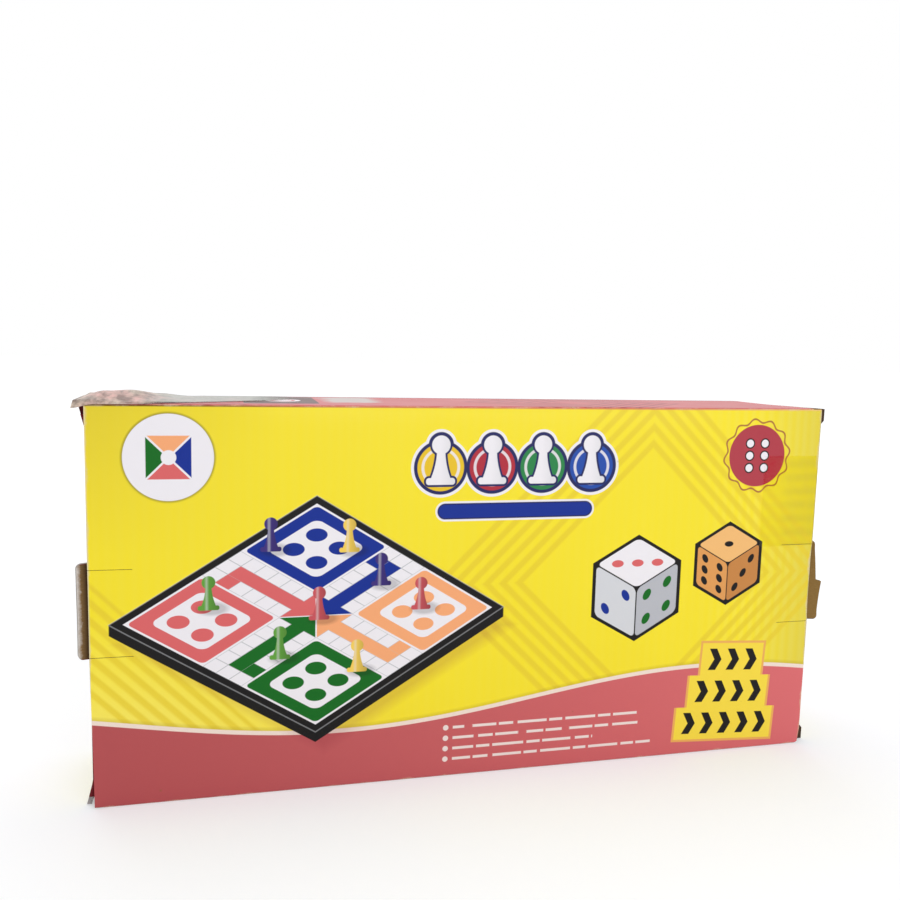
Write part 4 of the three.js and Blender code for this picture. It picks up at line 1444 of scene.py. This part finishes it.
def dress_inside():
    """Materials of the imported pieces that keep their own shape."""
    black = moulded("case_black_plastic", rgb(34, 35, 38), 0.38, 0.03)
    white = moulded("tray_white_plastic", rgb(228, 229, 228), 0.3, 0.015, 0.3)
    sheet_steel = rolled_steel("sheet_steel", 0.42)
    pin_steel = rolled_steel("hinge_steel", 0.28)
    dress("glue_flap", LINER)
    dress("leaflet", folded_paper())
    dress("pawn_tray", white)
    for half, way in (("back", 1), ("front", -1)):
        dress(f"case_{half}_half", black)
        dress(f"steel_sheet_{half}", sheet_steel)
        dress(f"catch_magnet_{half}", FERRITE)
        dress(f"play_sheet_{half}", play_print(half, way))
    for word in ("left", "right"):
        dress(f"hinge_pin_{word}", pin_steel)


# Clear film left of the seals


def clear_film(name, colour_and_cover, wrinkle_mm):
    """Clear film, in a colour for what shows through it and lights it, by how much of it hides."""
    paint = new_paint(name)
    point = paint.place()
    creases = paint.noise(point, 0.3, 3.0, 0.6)
    colour, cover = colour_and_cover(paint, point)
    return paint.finish(colour, 0.3, paint.bump(creases, wrinkle_mm, 0.8), specular=0.2, alpha=cover)


def smooth_film(paint, point):
    """A film that lies flat hides next to nothing."""
    return rgb(236, 226, 180), paint.noise(point, 0.4, 3.0) * 0.04


def crumpled_film(paint, point):
    """Crumpled film, mottled brown, beige and pink: painted light and shade of its crumples over the
    crimson that shows through; greyer away from the end, where it draws back to the rear and fades
    out."""
    x, y, z = paint.split(point)
    flat = paint.join(x * 0.26, y * 0.09, z * 0.4)
    # Bright and dark mottles: painted light and shade of the crumples.
    bright = (paint.noise(flat, 1.0, 3.0, 0.6) * 4.0 - 1.55).clamp()
    colour = paint.mix(bright, rgb(112, 88, 74), rgb(216, 196, 176))
    pink = (paint.noise(paint.join(x * 0.1, y * 0.05, 3.0), 1.0, 1.0) * 5.0 - 2.1).clamp()
    colour = paint.mix(pink * (bright * 0.6 + 0.15), colour, rgb(236, 168, 164))
    colour = paint.mix(((x + 116.0) * 0.09).clamp() * 0.8, colour, rgb(178, 183, 177))
    rear = ((y - x * 0.5 - 32.0) * 0.2).clamp()
    return colour, ((-FILM_INNER / MM - x) / 16.0).clamp() * rear * 0.93


def add_films():
    """A seal's film on the front's right end, cut at the edge, and one crumpled on the top's left end.
    Both are thin closed sheets that follow the board under them. The crumpled one hangs down a
    little over the front and past the end."""
    columns = np.linspace(SEAL_START, HALF_LENGTH - 0.1 * MM, 40)
    x, z = np.meshgrid(columns, np.linspace(SEAL_LOW, SEAL_HIGH, 50))
    ripples = 1 + np.sin(x / (1.9 * MM) + 0.6 * np.sin(z / (7 * MM)))
    lift = SEAL_LIFT + SEAL_RIPPLE * ripples
    outer = np.stack([x, -HALF_DEPTH - lift - FILM_THICKNESS, z], -1)
    inner = np.stack([x, -HALF_DEPTH - lift, z], -1)
    clear = clear_film("seal_film", smooth_film, 0.1)
    board_piece("right_seal_film", "carton", [], outer, inner, clear, edge=clear)

    columns = np.linspace(-FILM_OUTER, -FILM_INNER, 150)
    x, y = np.meshgrid(columns, np.linspace(-HALF_DEPTH, FILM_REAR, 60))
    folds = np.sin(x / (3.1 * MM) + 1.5 * np.sin(y / (8 * MM)))
    folds = folds + np.sin(x / (5.3 * MM) - y / (7 * MM))
    near_end = smooth(-x, 98 * MM, 124 * MM)
    puffed = smooth(-x, 106 * MM, 121 * MM) * (1 - smooth(-x, 127 * MM, 135.5 * MM))
    over = smooth(-x, HALF_LENGTH - 3 * MM, HALF_LENGTH + 3.8 * MM)
    at_front = 1 - smooth(y, -HALF_DEPTH, -HALF_DEPTH + 2.5 * MM)
    at_corner = 1 - smooth(y, -HALF_DEPTH + 1.2 * MM, -HALF_DEPTH + 5.5 * MM)
    arch = np.sin(smooth(y, -HALF_DEPTH, 26 * MM) * math.pi) ** 0.7
    rise = FILM_LIFT + FILM_FOLDS * (folds + 2.75) * near_end * (1 - at_front)
    rise = rise + FILM_PUFF * puffed * arch
    z = HEIGHT + rise - FILM_DROOP * over * at_corner - FILM_OVER_FRONT * at_front * near_end
    y = y - FILM_OVER_FRONT * at_front
    inner = np.stack([x, y, z], -1)
    outer = inner + np.array([0, 0, FILM_THICKNESS])
    clear = clear_film("crumpled_film", crumpled_film, 0.35)
    board_piece("left_seal_film", "carton", [], outer, inner, clear, edge=clear)


# Stage


def white_or_plain(paint, plain, white):
    """plain as light on the object, white to the camera and in reflections."""
    rays = paint.raw("ShaderNodeLightPath")
    camera, glossy, through = (
        Field(paint, rays.outputs[f"Is {kind} Ray"]) for kind in ("Camera", "Glossy", "Transmission")
    )
    seen = camera.most(glossy).most(through)
    return paint.node("ShaderNodeMixShader", None, seen, plain, white)


def add_stage():
    """White floor and sky. The floor keeps the object's soft shadow."""
    mesh = bpy.data.meshes.new("floor")
    square = [(x * FLOOR_REACH, y * FLOOR_REACH, 0) for x, y in ((-1, -1), (1, -1), (1, 1), (-1, 1))]
    mesh.from_pydata(square, [], [(0, 1, 2, 3)])
    floor = bpy.data.objects.new("floor", mesh)
    bpy.context.scene.collection.objects.link(floor)
    paint = new_paint("floor_paper")
    plain = paint.node("ShaderNodeBsdfDiffuse", None, (0.8, 0.8, 0.8, 1.0))
    matt = paint.node("ShaderNodeBsdfDiffuse", None, (0.585, 0.6, 0.63, 1.0))
    away = (paint.vector("LENGTH", paint.place()) * 0.0014 - 0.3).clamp()
    glow = paint.node("ShaderNodeEmission", None, WHITE, away * FLOOR_GLOW_MORE + FLOOR_GLOW)
    seen = paint.node("ShaderNodeAddShader", None, matt, glow)
    paint.raw("ShaderNodeOutputMaterial", None, white_or_plain(paint, plain, seen))
    mesh.materials.append(paint.owner)

    world = bpy.data.worlds.new("studio")
    bpy.context.scene.world = world
    sky = Paint(world)
    dim = sky.node("ShaderNodeBackground", None, WHITE, SKY_LEVEL)
    white = sky.node("ShaderNodeBackground", None, WHITE, 1.0)
    sky.raw("ShaderNodeOutputWorld", None, white_or_plain(sky, dim, white))


add_camera()
add_stage()
add_lamp("front_softbox", (0.34, -1.14, 0.42), aim=(0.03, 0.0, 0.06), size=0.8, power=4.95)
add_lamp("top_softbox", (-0.05, 0.4, 1.15), aim=(0.0, 0.0, 0.0), size=0.9, power=5.4)

LINER = kraft_liner()
EDGE = cut_edge("cut_edge", False)
CLOSURE_EDGE = cut_edge("closure_cut_edge", True)
DUST_PRINT = dust_print()
TONGUE_FACE = tongue_face()
FERRITE = ferrite()
add_panels()
for word, side in (("left", -1), ("right", 1)):
    add_end_flap(word, side)
    add_tongue(word, side)
    add_dust_flap(word, side, "upper")
    add_dust_flap(word, side, "lower")
dress_inside()
add_pawns()
add_die()
add_films()

bpy.context.scene.view_settings.view_transform = "Standard"
